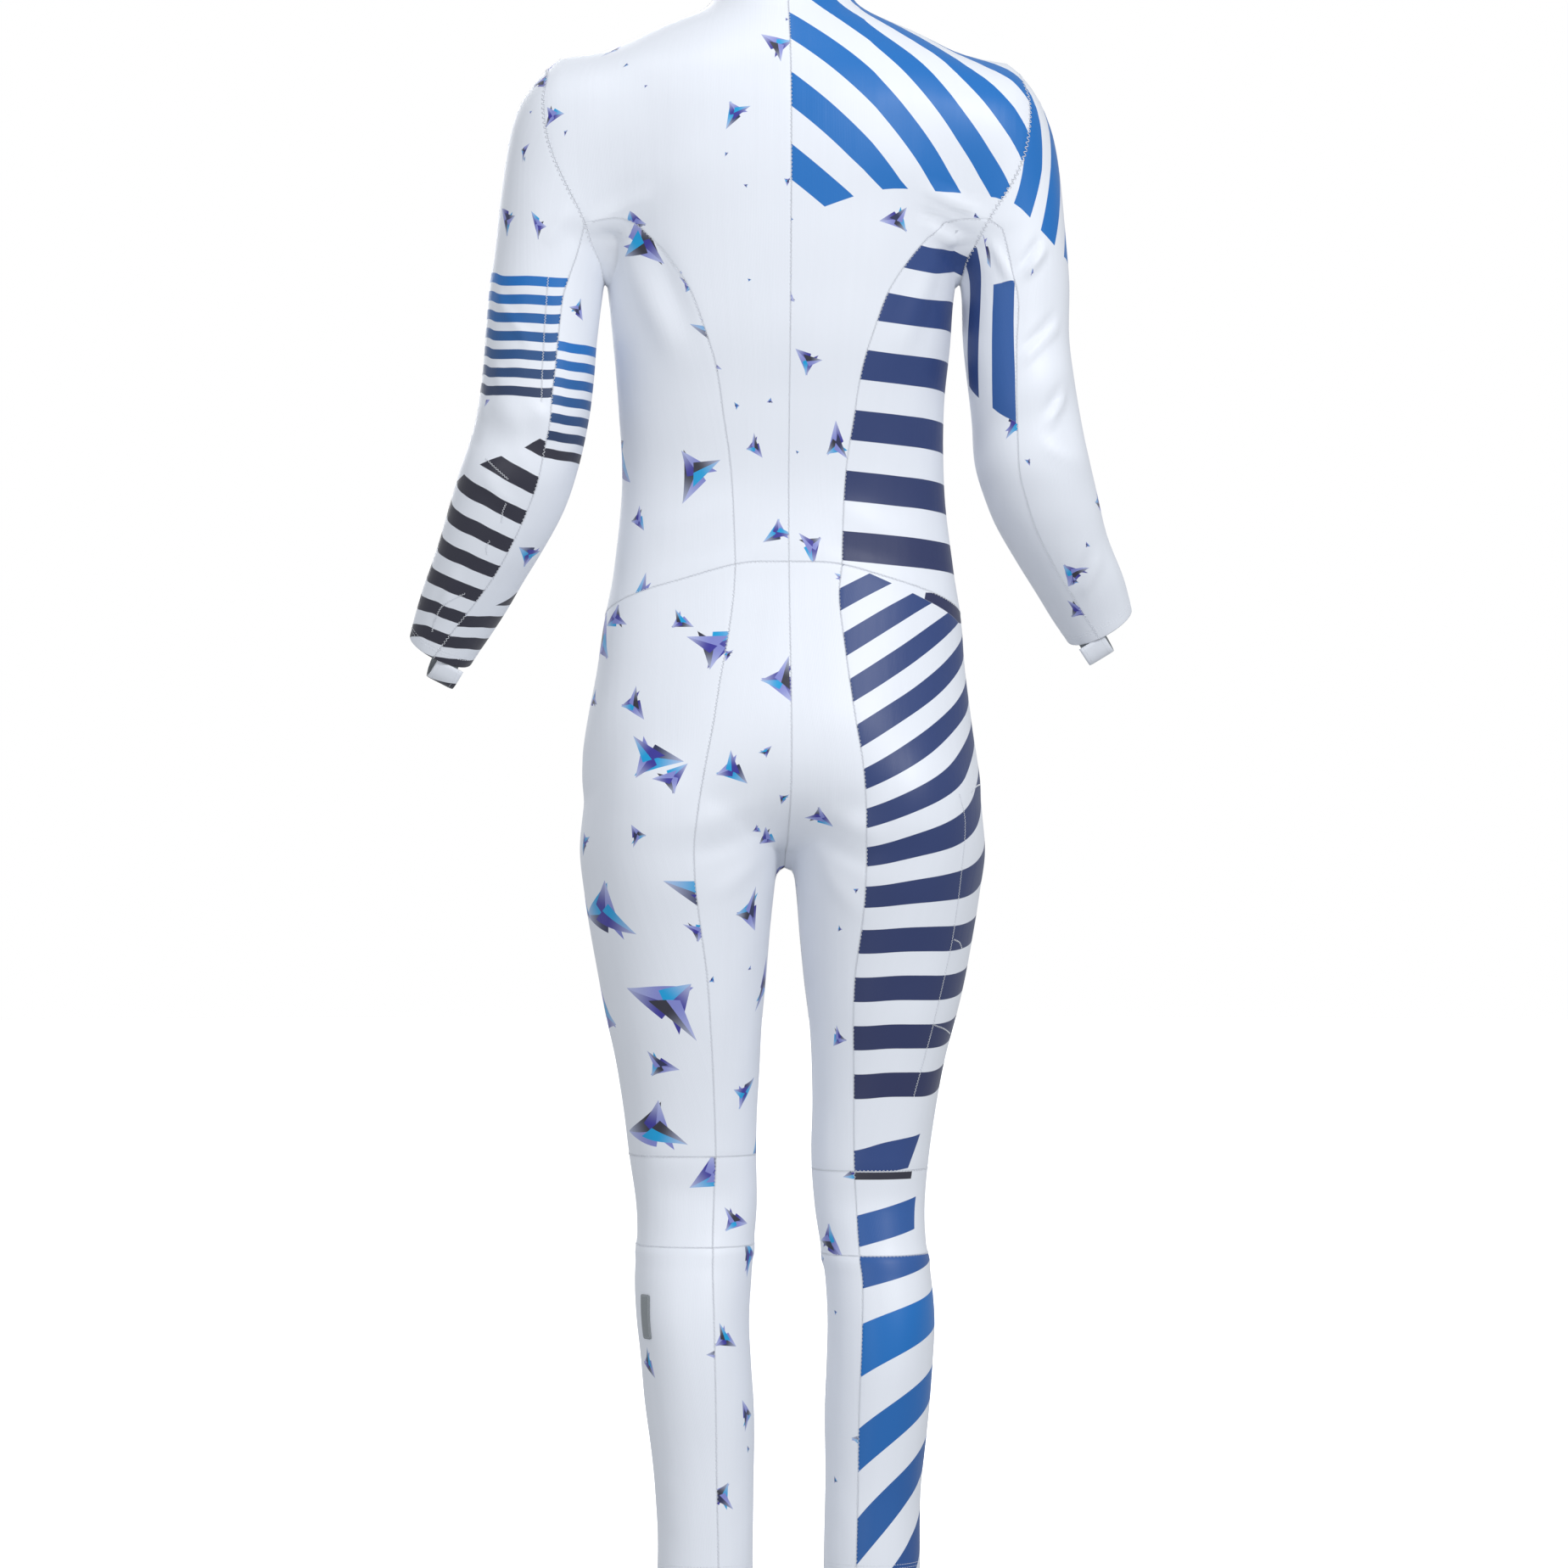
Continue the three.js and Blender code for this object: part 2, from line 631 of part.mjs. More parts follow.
// Every seam of one half of the suit
function seamsOf(side) {
  const sign = sideSign[side];
  const trunk = roundChart(trunkAxis, sign, armlessSkin(side));
  const rings = sleeveRings(side);
  const { armholeBack, underarm, neckBack, neckFront, shoulder, aboveCrotch } = CELLS;
  const armhole = rings[0];
  const joinBack = armholeBack;
  const joinFront = armholeBack + underarm;

  const necklineBack = evenly(0, 90, neckBack).map((angle) => trunk.point([angle, neckZ(angle)]));
  const frontEdge = degrees(Math.asin(ZIP_EDGE / read(TRUNK, NECK_FRONT_Z)[4]));
  const necklineFront = evenly(90, 180 - frontEdge, neckFront).map((angle) =>
    trunk.point([angle, neckZ(angle)]),
  );
  necklineFront[neckFront] = frontPoint(sign * ZIP_EDGE, NECK_FRONT_Z);
  const ridge = roundChart(trunkAxis, sign, skin);
  const [tipAngle, tipZ] = ridge.locate(armhole[0]);
  const shoulderSeam = range(shoulder + 1).map((i) => {
    if (i === 0) return necklineBack[neckBack];
    if (i === shoulder) return armhole[0];
    const t = i / shoulder;
    return ridge.point([mix(90, tipAngle, t), mix(NECK_SIDE_Z, tipZ, t)]);
  });

  const backCorner = waistPoint(sign * BACK_PRINCESS.rows[BACK_PRINCESS.rows.length - 1][1], true);
  const frontCorner = waistPoint(sign * FRONT_PRINCESS.rows[FRONT_PRINCESS.rows.length - 1][1], false);
  const backCells = neckBack + shoulder;
  const frontCells = neckFront + shoulder;
  const waistBack = evenly(0, backCorner[0], backCells).map((x) => waistPoint(x, true));
  const [backAngle] = trunk.locate(backCorner);
  const [frontAngle] = trunk.locate(frontCorner);
  const waistSide = evenly(backAngle, frontAngle, underarm).map((angle) => trunk.point([angle, waistZ(angle)]));
  waistSide[0] = backCorner;
  waistSide[underarm] = frontCorner;
  const waistFront = evenly(frontCorner[0], sign * ZIP_EDGE, frontCells).map((x) => waistPoint(x, false));

  const backPrincess = princess(BACK_PRINCESS, sign, backCorner, armhole[joinBack], backPoint);
  const frontPrincess = princess(FRONT_PRINCESS, sign, frontCorner, armhole[joinFront], frontPoint);
  const trunkRows = CELLS.princess + armholeBack;
  const closer = 0.72;
  const centreBack = evenly(waistBack[0][2], NECK_BACK_Z, trunkRows, closer).map((z) => backPoint(0, z));
  const centreFront = evenly(waistFront[frontCells][2], NECK_FRONT_Z, trunkRows, closer).map((z) =>
    frontPoint(sign * ZIP_EDGE, z),
  );

  // Down to the crotch, rows close up towards it; below it they are level
  const leg = roundChart(legAxis(side), sign, halfSkin(sign));
  const closing = 1.6;
  const shares = range(aboveCrotch + 1).map((i) => 1 - (1 - i / aboveCrotch) ** closing);
  const crotch = CROTCH;
  const seatSeam = shares.map((t) => (t === 1 ? crotch : midSeam(mix(waistBack[0][2], crotch[2], t), 1)));
  const riseTop = waistFront[frontCells];
  const frontRise = shares.map((t, i) => {
    if (t === 1) return crotch;
    return i === 0 ? [0, riseTop[1], riseTop[2]] : midSeam(mix(riseTop[2], crotch[2], t), -1);
  });
  const legSeamPoint = (z) => leave([sign * read(LEG_SEAM[side], z)[1], legAxis(side)(z)[1], z], [0, 1, 0]);
  const { upper, lower } = KNEE_SEAMS[side];
  const thighZ = evenly(crotch[2], upper, CELLS.thigh, 1.3);
  const legSeamHigh = shares.map((t, i) =>
    i === 0 ? backCorner : legSeamPoint(mix(backCorner[2], crotch[2], t)),
  );
  return {
    side, sign, trunk, leg, rings, joinBack, joinFront, armhole,
    necklineBack, necklineFront, shoulderSeam, waistBack, waistSide, waistFront,
    backPrincess, frontPrincess, centreBack, centreFront, seatSeam, frontRise,
    legSeam: legSeamPoint, legSeamHigh, thighZ,
    kneeZ: evenly(upper, lower, CELLS.knee),
    calfZ: evenly(lower, HEM_Z, CELLS.calf),
  };
}
function midSeam(z, direction) {
  return leave([0, CROTCH[1], z], [0, direction, 0]);
}

// A net between four seams: blended in the chart's coordinates, then found again on the skin.
// low and high run across, first and last run up. The fades are how fast the shape of the level edges
// and of the upright ones dies out away from them.
function net(map, low, high, first, last, { round = true, levelFade = 1, uprightFade = 1 } = {}) {
  const unroll = (points, [start]) => {
    let before = start;
    return points.map((p) => {
      const [across, z] = map.locate(p);
      before = round ? before + ((((across - before) % 360) + 540) % 360) - 180 : across;
      return [before, z];
    });
  };
  const a = unroll(low, [0]);
  const c = unroll(first, a[0]);
  const b = unroll(high, c[c.length - 1]);
  const d = unroll(last, a[a.length - 1]);
  const rows = first.length - 1;
  const cells = low.length - 1;
  return range(rows + 1).map((i) =>
    range(cells + 1).map((j) => {
      if (i === 0) return low[j];
      if (i === rows) return high[j];
      if (j === 0) return first[i];
      if (j === cells) return last[i];
      const v = i / rows;
      const u = j / cells;
      const bow = (edge, n, t, k) => edge[n][k] - mix(edge[0][k], edge[edge.length - 1][k], t);
      return map.point(
        range(2).map(
          (k) =>
            mix(mix(a[0][k], a[cells][k], u), mix(b[0][k], b[cells][k], u), v) +
            (1 - v) ** levelFade * bow(a, j, u, k) +
            v ** levelFade * bow(b, j, u, k) +
            (1 - u) ** uprightFade * bow(c, i, v, k) +
            u ** uprightFade * bow(d, i, v, k),
        ),
      );
    }),
  );
}

// A wall of cloth on a net: edges drawn in by half the seam gap, the inner face one thickness in
function wall(points) {
  const rows = points.length - 1;
  const cells = points[0].length - 1;
  const normals = points.map((row) => row.map(normal));
  // Into the panel from an edge: square to the edge and to the skin's normal
  const inward = (i, j, edge, next) => {
    const along = minus(edge[Math.min(next + 1, edge.length - 1)], edge[Math.max(next - 1, 0)]);
    const across = unit(cross(normals[i][j], along));
    const inside = points[clamp(i, 1, rows - 1)][clamp(j, 1, cells - 1)];
    return dot(across, minus(inside, points[i][j])) < 0 ? across.map((value) => -value) : across;
  };
  const outer = points.map((row, i) =>
    row.map((p, j) => {
      const column = () => points.map((line) => line[j]);
      let moved = p;
      if (i === 0 || i === rows) moved = add(moved, inward(i, j, row, j), SEAM_GAP / 2);
      if (j === 0 || j === cells) moved = add(moved, inward(i, j, column(), i), SEAM_GAP / 2);
      return moved;
    }),
  );
  const inner = outer.map((row, i) => row.map((p, j) => add(p, normals[i][j], -CLOTH)));
  return solidBetween(outer, inner);
}
// A closed solid between two nets of the same size
function solidBetween(outer, inner) {
  const rows = outer.length - 1;
  const cells = outer[0].length - 1;
  const size = (rows + 1) * (cells + 1);
  const index = (i, j, layer) => layer * size + i * (cells + 1) + j;
  const faces = [];
  const quad = (a, b, c, d) => faces.push(a, b, c, a, c, d);
  for (let i = 0; i < rows; i++)
    for (let j = 0; j < cells; j++) {
      quad(index(i, j, 0), index(i, j + 1, 0), index(i + 1, j + 1, 0), index(i + 1, j, 0));
      quad(index(i, j, 1), index(i + 1, j, 1), index(i + 1, j + 1, 1), index(i, j + 1, 1));
    }
  for (let j = 0; j < cells; j++) {
    quad(index(0, j, 0), index(0, j, 1), index(0, j + 1, 1), index(0, j + 1, 0));
    quad(index(rows, j, 0), index(rows, j + 1, 0), index(rows, j + 1, 1), index(rows, j, 1));
  }
  for (let i = 0; i < rows; i++) {
    quad(index(i, 0, 0), index(i + 1, 0, 0), index(i + 1, 0, 1), index(i, 0, 1));
    quad(index(i, cells, 0), index(i, cells, 1), index(i + 1, cells, 1), index(i + 1, cells, 0));
  }
  return closedGeometry([...outer.flat(), ...inner.flat()], faces);
}
function closedGeometry(points, faces) {
  const corner = (k) => points[faces[k]];
  let volume = 0;
  for (let k = 0; k < faces.length; k += 3) volume += dot(corner(k), cross(corner(k + 1), corner(k + 2)));
  const turned = () => faces.flatMap((_, k) => (k % 3 ? [] : [faces[k], faces[k + 2], faces[k + 1]]));
  const order = volume > 0 ? faces : turned();
  const geometry = new THREE.BufferGeometry();
  geometry.setAttribute("position", new THREE.Float32BufferAttribute(points.flat(), 3));
  geometry.setIndex(order);
  return geometry;
}

const suit = new THREE.Group();
function sew(name, geometry, colour, { roughness = 0.55, metalness = 0 } = {}, group = suit) {
  const mesh = new THREE.Mesh(geometry, new THREE.MeshStandardMaterial({ color: colour, roughness, metalness }));
  mesh.name = name;
  group.add(mesh);
  return mesh;
}

// Trunk: back, side and front panel of one half
function sewTrunk(seams) {
  const { side, trunk, armhole, joinBack, joinFront } = seams;
  const colour = side === "right" ? COLOUR.blue : COLOUR.white;
  const back = net(
    flatChart(backPoint),
    seams.waistBack,
    [...seams.necklineBack, ...seams.shoulderSeam.slice(1)],
    seams.centreBack,
    [...seams.backPrincess, ...armhole.slice(0, joinBack).reverse()],
    { round: false, levelFade: 3 },
  );
  sew("back_" + side, wall(back), COLOUR.white);

  const underarm = armhole.slice(joinBack, joinFront + 1);
  const under = net(trunk, seams.waistSide, underarm, seams.backPrincess, seams.frontPrincess, { uprightFade: 3 });
  sew("side_" + side, wall(under), colour);

  const tipToFront = armhole.slice(joinFront + 1);
  const front = net(
    flatChart(frontPoint),
    [...seams.waistFront].reverse(),
    [...[...seams.necklineFront].reverse(), ...seams.shoulderSeam.slice(1)],
    seams.centreFront,
    [...seams.frontPrincess, ...tipToFront],
    { round: false, levelFade: 3 },
  );
  sew("front_" + side, wall(front), COLOUR.white);
}

// Half of the stand collar, split at the middle of the back
function sewCollar({ side, sign, trunk, necklineBack, necklineFront }) {
  const base = [...necklineBack, ...necklineFront.slice(1)];
  const rise = range(CELLS.collar + 1).map((i) => (COLLAR_HEIGHT * i) / CELLS.collar);
  const rows = rise.map((height, i) =>
    base.map((p, j) => {
      if (i === 0) return p;
      const z = p[2] + height;
      if (j === 0) return backPoint(0, z);
      if (j === base.length - 1) return frontPoint(sign * ZIP_EDGE, z);
      return trunk.point([trunk.locate(p)[0], z]);
    }),
  );
  sew("collar_" + side, wall(rows), COLOUR.white);
}

// Legs: an inner panel from the centre back and inseam to the seam behind the leg, and an outer panel
// from there round the outside to the centre front and inseam, in three lengths
const INSEAM_ANGLE = 270;
function levelRow(seams, z, cells, fromAngle, toAngle) {
  return evenly(fromAngle, toAngle, cells).map((angle) => seams.leg.point([angle, z]));
}
function sewLegs(seams) {
  const { side, leg, legSeam } = seams;
  const innerCells = seams.waistBack.length - 1;
  const outerCells = seams.waistSide.length + seams.waistFront.length - 2;
  const seamAngle = (z) => leg.locate(legSeam(z))[0];
  const innerRow = (z) => levelRow(seams, z, innerCells, INSEAM_ANGLE - 360, seamAngle(z));
  const outerRow = (z) => levelRow(seams, z, outerCells, seamAngle(z), INSEAM_ANGLE);
  // At the crotch both panels reach the same point
  const withCrotch = (row, last) => row.map((p, j) => (j === (last ? row.length - 1 : 0) ? CROTCH : p));

  const crotchZ = CROTCH[2];
  const innerCrotch = withCrotch(innerRow(crotchZ), false);
  const outerCrotch = withCrotch(outerRow(crotchZ), true);
  const waistAround = [...seams.waistSide, ...seams.waistFront.slice(1)];
  waistAround[waistAround.length - 1] = seams.frontRise[0];
  const innerHigh = net(leg, seams.waistBack, innerCrotch, seams.seatSeam, seams.legSeamHigh);
  const outerHigh = net(leg, waistAround, outerCrotch, seams.legSeamHigh, seams.frontRise);
  const below = seams.thighZ.slice(1);
  const stripes = side === "right" ? COLOUR.navy : COLOUR.white;
  sew("thigh_inner_" + side, wall([...innerHigh, ...below.map(innerRow)]), COLOUR.white);
  sew("thigh_outer_" + side, wall([...outerHigh, ...below.map(outerRow)]), stripes);
  sew("knee_inner_" + side, wall(seams.kneeZ.map(innerRow)), COLOUR.white);
  sew("knee_outer_" + side, wall(seams.kneeZ.map(outerRow)), stripes);
  sew("calf_inner_" + side, wall(seams.calfZ.map(innerRow)), COLOUR.white);
  sew("calf_outer_" + side, wall(seams.calfZ.map(outerRow)), stripes);
}

// Sleeve: an outer panel over the shoulder side and an inner panel under the arm
function sewSleeve({ side, rings, joinBack, joinFront }) {
  const around = rings[0].length - 1;
  const outer = rings.map((ring) => [...ring.slice(joinFront, around), ...ring.slice(0, joinBack + 1)]);
  const inner = rings.map((ring) => ring.slice(joinBack, joinFront + 1));
  sew("sleeve_outer_" + side, wall(outer), side === "left" ? COLOUR.navy : COLOUR.white);
  sew("sleeve_inner_" + side, wall(inner), COLOUR.white);
}

// A strap that hangs in a U from the back of the cuff to its front
function sewFingerLoop({ side }) {
  const rows = SLEEVES[side].rows;
  const plane = ringPlane(side, rows[rows.length - 1]);
  const along = unit(cross(plane.out, plane.rear));
  const down = along.map((value) => value * -Math.sign(along[2]));
  const inset = (angle) => {
    const edge = ringPoint(plane, angle);
    return add(edge, unit(minus(plane.middle, edge)), CLOTH / 2);
  };
  const from = inset(LOOP.backAngle);
  const to = inset(LOOP.frontAngle);
  const middle = mixPoints(from, to, 0.5);
  const half = minus(from, middle);
  const across = unit(cross(down, half));
  const outer = [];
  const inner = [];
  for (const i of range(LOOP.cells + 1)) {
    const angle = (Math.PI * i) / LOOP.cells;
    const squared = (value) => Math.sign(value) * Math.abs(value) ** 0.7;
    const drop = SEAM_GAP + LOOP.drop * squared(Math.sin(angle));
    const centre = add(add(middle, half, squared(Math.cos(angle))), down, drop);
    const aside = unit(half).map((value) => value * Math.cos(angle));
    const outward = unit(add(aside, down, Math.sin(angle)));
    const edge = (sign, k) => add(add(centre, across, (sign * LOOP.width) / 2), outward, (k * LOOP.thick) / 2);
    outer.push([edge(-1, 1), edge(0, 1), edge(1, 1)]);
    inner.push([edge(-1, -1), edge(0, -1), edge(1, -1)]);
  }
  sew("finger_loop_" + side, solidBetween(outer, inner), COLOUR.white);
}

// The certification tag, a thin plain patch lying on the calf
function sewTag(seams) {
  const lift = SEAM_GAP;
  const radius = 50;
  const spread = degrees(TAG.width / radius);
  const rows = evenly(TAG.middleZ + TAG.height / 2, TAG.middleZ - TAG.height / 2, TAG.cells);
  const points = rows.map((z) =>
    evenly(TAG.angle - spread / 2, TAG.angle + spread / 2, TAG.cells).map((angle) => seams.leg.point([angle, z])),
  );
  const at = (height) => points.map((row) => row.map((p) => add(p, normal(p), height)));
  sew("calf_tag", solidBetween(at(lift + TAG.thick), at(lift)), COLOUR.grey);
}

// Zip: a tape with a raised coil between the front edges, from the waist seam to the collar's top
function sewZip(seams) {
  const top = seams.centreFront[seams.centreFront.length - 1][2];
  const collar = range(CELLS.collar).map((i) => top + (COLLAR_HEIGHT * (i + 1)) / CELLS.collar);
  const heights = [...seams.centreFront.map((p) => p[2]), ...collar];
  heights[0] += SEAM_GAP / 2 + 0.15;
  const { halfWidth, coilHalfWidth, coilHeight } = ZIP;
  const profile = [
    [-halfWidth, 0],
    [-coilHalfWidth, 0],
    [-coilHalfWidth + 0.4, coilHeight],
    [coilHalfWidth - 0.4, coilHeight],
    [coilHalfWidth, 0],
    [halfWidth, 0],
  ];
  const outer = heights.map((z) => profile.map(([x, rise]) => lifted(frontPoint(x, z), rise)));
  const inner = heights.map((z) => profile.map(([x]) => lifted(frontPoint(x, z), -CLOTH)));
  sew("zip_tape", solidBetween(outer, inner), COLOUR.grey);
  return { tabTop: top + COLLAR_HEIGHT - ZIP.belowCollarTop };
}
function lifted(p, height) {
  const [, y, z] = normal([0, p[1], p[2]]);
  return add(p, unit([0, y, z]), height);
}

// Solids joined with manifold-3d
const wasm = await Module();
wasm.setup();
function solidOf(geometry) {
  const plain = geometry.clone();
  plain.deleteAttribute("normal");
  plain.deleteAttribute("uv");
  const merged = mergeVertices(plain, 1e-4);
  return new wasm.Manifold(
    new wasm.Mesh({
      numProp: 3,
      vertProperties: merged.getAttribute("position").array,
      triVerts: new Uint32Array(merged.index.array),
    }),
  );
}
function geometryOf(solid) {
  const { vertProperties, triVerts } = solid.getMesh();
  const geometry = new THREE.BufferGeometry();
  geometry.setAttribute("position", new THREE.BufferAttribute(vertProperties, 3));
  geometry.setIndex(new THREE.BufferAttribute(triVerts, 1));
  return geometry;
}
const box = (x, y, z, middle) => new THREE.BoxGeometry(x, y, z).translate(...middle);

// Slider and pull tab in a frame of their own: X across, Y up the zip, Z out of the cloth
function sewSlider({ tabTop }) {
  const [, y, z] = frontPoint(0, tabTop);
  const [, outY, outZ] = normal([0, y, z]);
  const mount = new THREE.Group();
  const out = new THREE.Vector3(0, outY, outZ).normalize();
  const across = new THREE.Vector3(1, 0, 0);
  const up = new THREE.Vector3().crossVectors(out, across).normalize();
  mount.setRotationFromMatrix(new THREE.Matrix4().makeBasis(across, up, out));
  mount.position.set(0, y, z);
  suit.add(mount);

  const { length, width, thick, nose, archLength, archWidth, archThick } = SLIDER;
  const outline = new THREE.Shape();
  outline.moveTo(-nose / 2, -length / 2);
  outline.lineTo(nose / 2, -length / 2);
  outline.lineTo(width / 2, length / 4);
  outline.lineTo(width / 3, length / 2);
  outline.lineTo(-width / 3, length / 2);
  outline.lineTo(-width / 2, length / 4);
  outline.closePath();
  const floor = ZIP.coilHeight + SEAM_GAP;
  const roof = floor + thick;
  const body = new THREE.ExtrudeGeometry(outline, { depth: thick, bevelEnabled: false }).translate(0, 0, floor);
  const sunk = 0.4;
  const postHeight = ARCH_CLEAR + archThick + sunk;
  const post = (end) =>
    box(archWidth, archThick, postHeight, [0, (end * (archLength - archThick)) / 2, roof - sunk + postHeight / 2]);
  const bar = box(archWidth, archLength, archThick, [0, 0, roof + ARCH_CLEAR + archThick / 2]);
  const joined = [body, post(-1), post(1), bar].map(solidOf).reduce((sum, next) => sum.add(next));
  sew("zip_slider", geometryOf(joined), COLOUR.metal, { roughness: 0.35, metalness: 0.9 }, mount);

  // The tab's pin lies under the arch; its arms pass either side of it and join in a tapered plate
  const pinHeight = roof + ARCH_CLEAR / 2;
  const tab = new THREE.Shape();
  const armInner = archWidth / 2 + TAB.sideGap;
  const armOuter = armInner + TAB.armWidth;
  const bridge = -archLength / 2 - 1.4;
  const end = bridge - TAB.plateLength;
  tab.moveTo(-armOuter, TAB.pin / 2);
  tab.lineTo(-armOuter, bridge + 1);
  tab.lineTo(-TAB.plateWidth / 2, bridge - 2);
  tab.lineTo(-TAB.tipWidth / 2, end + 1.2);
  tab.lineTo(-TAB.tipWidth / 2 + 1.2, end);
  tab.lineTo(TAB.tipWidth / 2 - 1.2, end);
  tab.lineTo(TAB.tipWidth / 2, end + 1.2);
  tab.lineTo(TAB.plateWidth / 2, bridge - 2);
  tab.lineTo(armOuter, bridge + 1);
  tab.lineTo(armOuter, TAB.pin / 2);
  tab.closePath();
  const eye = new THREE.Path();
  eye.moveTo(-armInner, -TAB.pin / 2);
  eye.lineTo(armInner, -TAB.pin / 2);
  eye.lineTo(armInner, bridge);
  eye.lineTo(-armInner, bridge);
  eye.closePath();
  tab.holes.push(eye);
  const plate = new THREE.ExtrudeGeometry(tab, { depth: TAB.pin, bevelEnabled: false });
  const pull = new THREE.Group();
  pull.position.set(0, 0, pinHeight);
  mount.add(pull);
  sew("zip_pull", plate.translate(0, 0, -TAB.pin / 2), COLOUR.dark, { roughness: 0.5, metalness: 0.3 }, pull);
}

const halves = ["left", "right"].map(seamsOf);
for (const seams of halves) {
  sewTrunk(seams);
  sewCollar(seams);
  sewLegs(seams);
  sewSleeve(seams);
  sewFingerLoop(seams);
}
sewTag(halves[0]);
sewSlider(sewZip(halves[0]));

export default suit;
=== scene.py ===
"""A one-piece ski race suit, dressed over its solids: cut panels of satin stretch knit with their
print, seams, stitching and folds, the stand collar, the front zip, the finger loops and the tag."""

import logging
import math
from collections.abc import Callable, Sequence
from dataclasses import dataclass, field
from enum import Enum

import bpy
import numpy as np
from bpy.types import Material, Node, NodeSocket, Object, World
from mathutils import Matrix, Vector


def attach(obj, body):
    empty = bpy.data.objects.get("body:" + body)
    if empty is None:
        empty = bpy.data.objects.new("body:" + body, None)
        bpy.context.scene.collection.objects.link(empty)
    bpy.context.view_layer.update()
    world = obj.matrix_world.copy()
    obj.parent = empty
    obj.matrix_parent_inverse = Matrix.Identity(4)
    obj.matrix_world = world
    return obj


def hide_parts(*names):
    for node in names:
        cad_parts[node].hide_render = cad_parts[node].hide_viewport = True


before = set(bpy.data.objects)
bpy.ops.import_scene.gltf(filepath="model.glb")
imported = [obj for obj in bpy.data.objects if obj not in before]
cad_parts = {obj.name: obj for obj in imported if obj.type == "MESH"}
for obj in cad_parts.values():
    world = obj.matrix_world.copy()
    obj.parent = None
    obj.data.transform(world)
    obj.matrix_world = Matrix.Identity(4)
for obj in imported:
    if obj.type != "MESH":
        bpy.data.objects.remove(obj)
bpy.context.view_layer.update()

log = logging.getLogger("race_suit")

Array = np.ndarray
Amount = float | Array
Form = Callable[[Array], Array]
Colour = tuple[float, float, float, float]
Edges = tuple[tuple[float, float, float], ...]

MM = 0.001
# The cloth is worked out in millimetres, with this many cells to one of the solids' cells
FINE = 5

# Cloth, seams and their heights
CLOTH = 1.5
SEAM_GAP = 0.3
NECK_BACK_Z = -3
NECK_SIDE_Z = 3
NECK_FRONT_Z = -56
COLLAR_HEIGHT = 38
HEM_Z = -1372
ZIP_EDGE = 4.3
INSEAM_ANGLE = 270


class Side(Enum):
    """The wearer's side."""

    LEFT = "left"
    RIGHT = "right"

    @property
    def sign(self) -> float:
        """Which way along X this side lies."""
        return 1.0 if self is Side.LEFT else -1.0


class Table:
    """Rows read by their first column, which falls, with a smooth curve between the rows."""

    def __init__(self, *rows: Sequence[float]) -> None:
        """Keeps the rows and works out the slope at each.

        Args:
            rows: the rows, each with its key first.
        """
        self.rows = np.array(rows, float)
        self.keys = self.rows[:, 0]
        at = np.arange(len(rows))
        before, after = np.maximum(at - 1, 0), np.minimum(at + 1, len(rows) - 1)
        spans = self.keys[after] - self.keys[before]
        self.slopes = (self.rows[after] - self.rows[before]) / spans[:, None]

    def read(self, key: Array | float) -> Array:
        """The row at a key.

        Args:
            key: one key or an array of them.

        Returns:
            The columns, along a last axis.
        """
        key = np.clip(np.asarray(key, float), self.keys[-1], self.keys[0])
        i = np.clip(np.searchsorted(-self.keys, -key, side="right") - 1, 0, len(self.keys) - 2)
        span = self.keys[i + 1] - self.keys[i]
        t = (key - self.keys[i]) / span
        here = 2 * t**3 - 3 * t**2 + 1
        out = (t**3 - 2 * t**2 + t) * span
        back = (t**3 - t**2) * span
        return (
            here[..., None] * self.rows[i]
            + out[..., None] * self.slopes[i]
            + (1 - here)[..., None] * self.rows[i + 1]
            + back[..., None] * self.slopes[i + 1]
        )


# Level sections, top to bottom: z, the middle's x and y, the half width, the depths before and behind
# the middle, and the section's exponent, where 2 is an ellipse
TRUNK = Table(
    (60, 0, -16, 55, 50, 45, 2), (20, 0, -4, 57, 53, 49, 2), (0, 0, 2, 61, 56, 54, 2),
    (-12, 0, 6, 75, 59, 58, 1.9), (-27, 1, 10, 111, 64, 66, 1.8), (-44, 1, 13, 146, 69, 75, 1.8),
    (-60, 1, 14, 177, 73, 82, 1.9), (-76, 1, 14, 193, 77, 87, 2), (-100, 0, 12, 194, 83, 93, 2.1),
    (-150, 0, 8, 177, 94, 98, 2.2), (-200, 0, 4, 162, 107, 98, 2.2), (-248, 2, 2, 152, 114, 95, 2.25),
    (-300, 2, 0, 147, 109, 90, 2.25), (-356, 2, -4, 142, 100, 83, 2.25),
    (-430, 0, -8, 141, 88, 76, 2.25), (-500, 0, -6, 149, 90, 80, 2.25), (-541, 1, -3, 156, 94, 88, 2.2),
    (-585, 3, 0, 161, 98, 98, 2.2), (-630, 4, 3, 168, 98, 107, 2.2), (-665, 4, 5, 172, 92, 106, 2.1),
    (-690, 3, 6, 170, 82, 97, 2.1), (-708, 2, 6, 158, 68, 83, 2), (-722, 0, 6, 130, 52, 65, 2),
    (-733, 0, 6, 90, 34, 44, 2), (-739, 0, 6, 48, 18, 24, 2), (-742, 0, 6, 10, 6, 6, 2),
)

